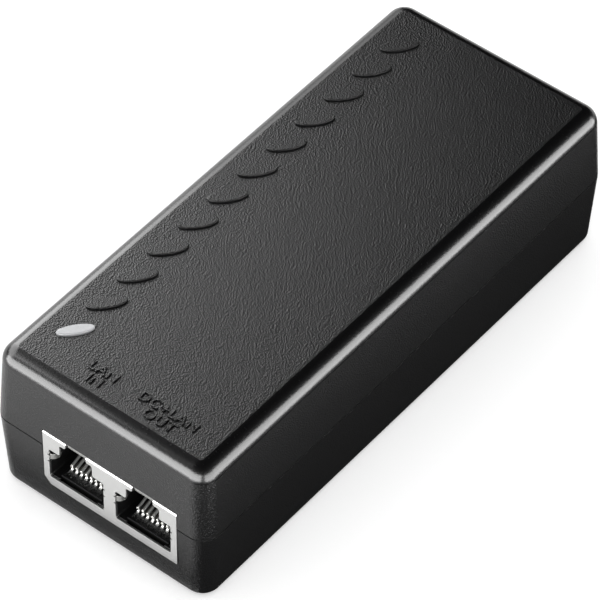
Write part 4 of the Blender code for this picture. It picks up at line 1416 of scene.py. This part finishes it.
@dataclass(frozen=True)
class SoftLight:
    """A soft box that only shines on gloss: the way towards it, its distance, size and brightness."""

    title: str
    toward: tuple[float, float, float]
    distance: float
    size: tuple[float, float]
    radiance: float
    aim: tuple[float, float, float] = (0.0, 0.0, 0.02)

    def build(self) -> None:
        """Add the lamp, aimed at its point."""
        data = bpy.data.lights.new(self.title, "AREA")
        data.shape = "RECTANGLE"
        data.size, data.size_y = self.size
        data.energy = self.radiance * math.pi * self.size[0] * self.size[1]
        lamp = stand_off(self.title, data, Vector(self.toward).normalized(), self.aim, self.distance)
        lamp.visible_camera = False
        lamp.visible_diffuse = False


@dataclass
class Studio:
    """Pale floor, soft light and the camera."""

    azimuth: float = 38.2285
    elevation: float = 47.3893
    roll: float = 0.7562
    distance: float = 0.71026
    target: tuple[float, float, float] = (0.0002286, -0.0021282, 0.014)
    lens: float = 256.84
    floor_colour: str = "#f4f4f4"
    floor_glow: float = 0.34
    lights: tuple[SoftLight, ...] = (
        SoftLight("left_box", (-0.82, -0.14, 0.55), 0.24, (0.36, 0.17), 5.6),
        SoftLight("rear_left_box", (-0.68, 0.40, 0.61), 0.22, (0.17, 0.15), 2.8, (-0.01, 0.0, 0.03)),
        SoftLight("low_left_box", (-0.90, 0.40, 0.15), 0.45, (0.36, 0.22), 1.1),
        SoftLight("front_panel", (0.0, -1.0, 0.12), 0.150, (0.30, 0.08), 12.0, (-0.05, 0.0, 0.022)),
        SoftLight("right_panel", (1.0, 0.0, 0.07), 0.092, (0.26, 0.060), 9.5, (0.0, 0.03, 0.024)),
    )

    def build_camera(self) -> None:
        """Add the camera on its long lens."""
        turn, rise = math.radians(self.azimuth), math.radians(self.elevation)
        back = Vector((math.sin(turn) * math.cos(rise), -math.cos(turn) * math.cos(rise),
                       math.sin(rise)))
        data = bpy.data.cameras.new("camera")
        data.lens = self.lens
        camera = stand_off("camera", data, back, self.target, self.distance)
        camera.rotation_quaternion.rotate(Matrix.Rotation(math.radians(self.roll), 3, back))
        bpy.context.scene.camera = camera

    def build_floor(self) -> None:
        """Add the pale floor, and the dark cards that only reflections see: painted shade, standing in for
        a shadowed floor beside the right side and in front.
        """
        settle()
        bpy.ops.mesh.primitive_circle_add(vertices=96, radius=6.0, fill_type="NGON",
                                          location=(0, 0, -0.4 * MM))
        floor = placed("floor")
        paint(floor, "floor_paint", {
            "Base Color": linear(self.floor_colour), "Roughness": 0.9, "Specular IOR Level": 0.1,
            "Emission Color": linear("#ffffff"), "Emission Strength": self.floor_glow})
        # Painted shade: two dark cards just under the floor, seen only in reflections, darken the right
        # side and the foot of the front face as a shadowed floor would
        flag = gather("flag", [block("side_shade_card", (20.0, -120.0, -0.25), (88.0, 160.0, -0.2)),
                               block("front_shade_card", (-30.0, -57.5, -0.25), (20.0, -53.6, -0.2))])
        paint(flag, "flag_cloth", {"Base Color": linear("#0c0c0c"), "Roughness": 1.0})
        for name in ("visible_camera", "visible_diffuse", "visible_transmission", "visible_shadow"):
            setattr(flag, name, False)

    def build_world(self) -> None:
        """Make the sky white to the eye and to the floor, and absent from reflections."""
        world = bpy.data.worlds.new("studio")
        bpy.context.scene.world = world
        world.use_nodes = True
        sky = world.node_tree.nodes["Background"]
        sky.inputs["Color"].default_value = linear("#ffffff")
        sky.inputs["Strength"].default_value = 1.0
        world.cycles_visibility.glossy = False

    def build(self) -> None:
        """Set up the whole studio."""
        self.build_camera()
        self.build_floor()
        self.build_world()
        for light in self.lights:
            light.build()
        bpy.context.scene.view_settings.view_transform = "Standard"


def main() -> None:
    """Build every sub-assembly around the frame, then the studio."""
    logging.basicConfig(level=logging.INFO, format="%(name)s: %(message)s")
    case = CaseShells()
    case.build()
    PortLabels().build(case)
    ModularJack().build()
    LightPipe().build(case)
    MainsInlet().build()
    CaseScrews().build()
    Electronics().build()
    Studio().build()


if __name__ == "__main__":
    main()
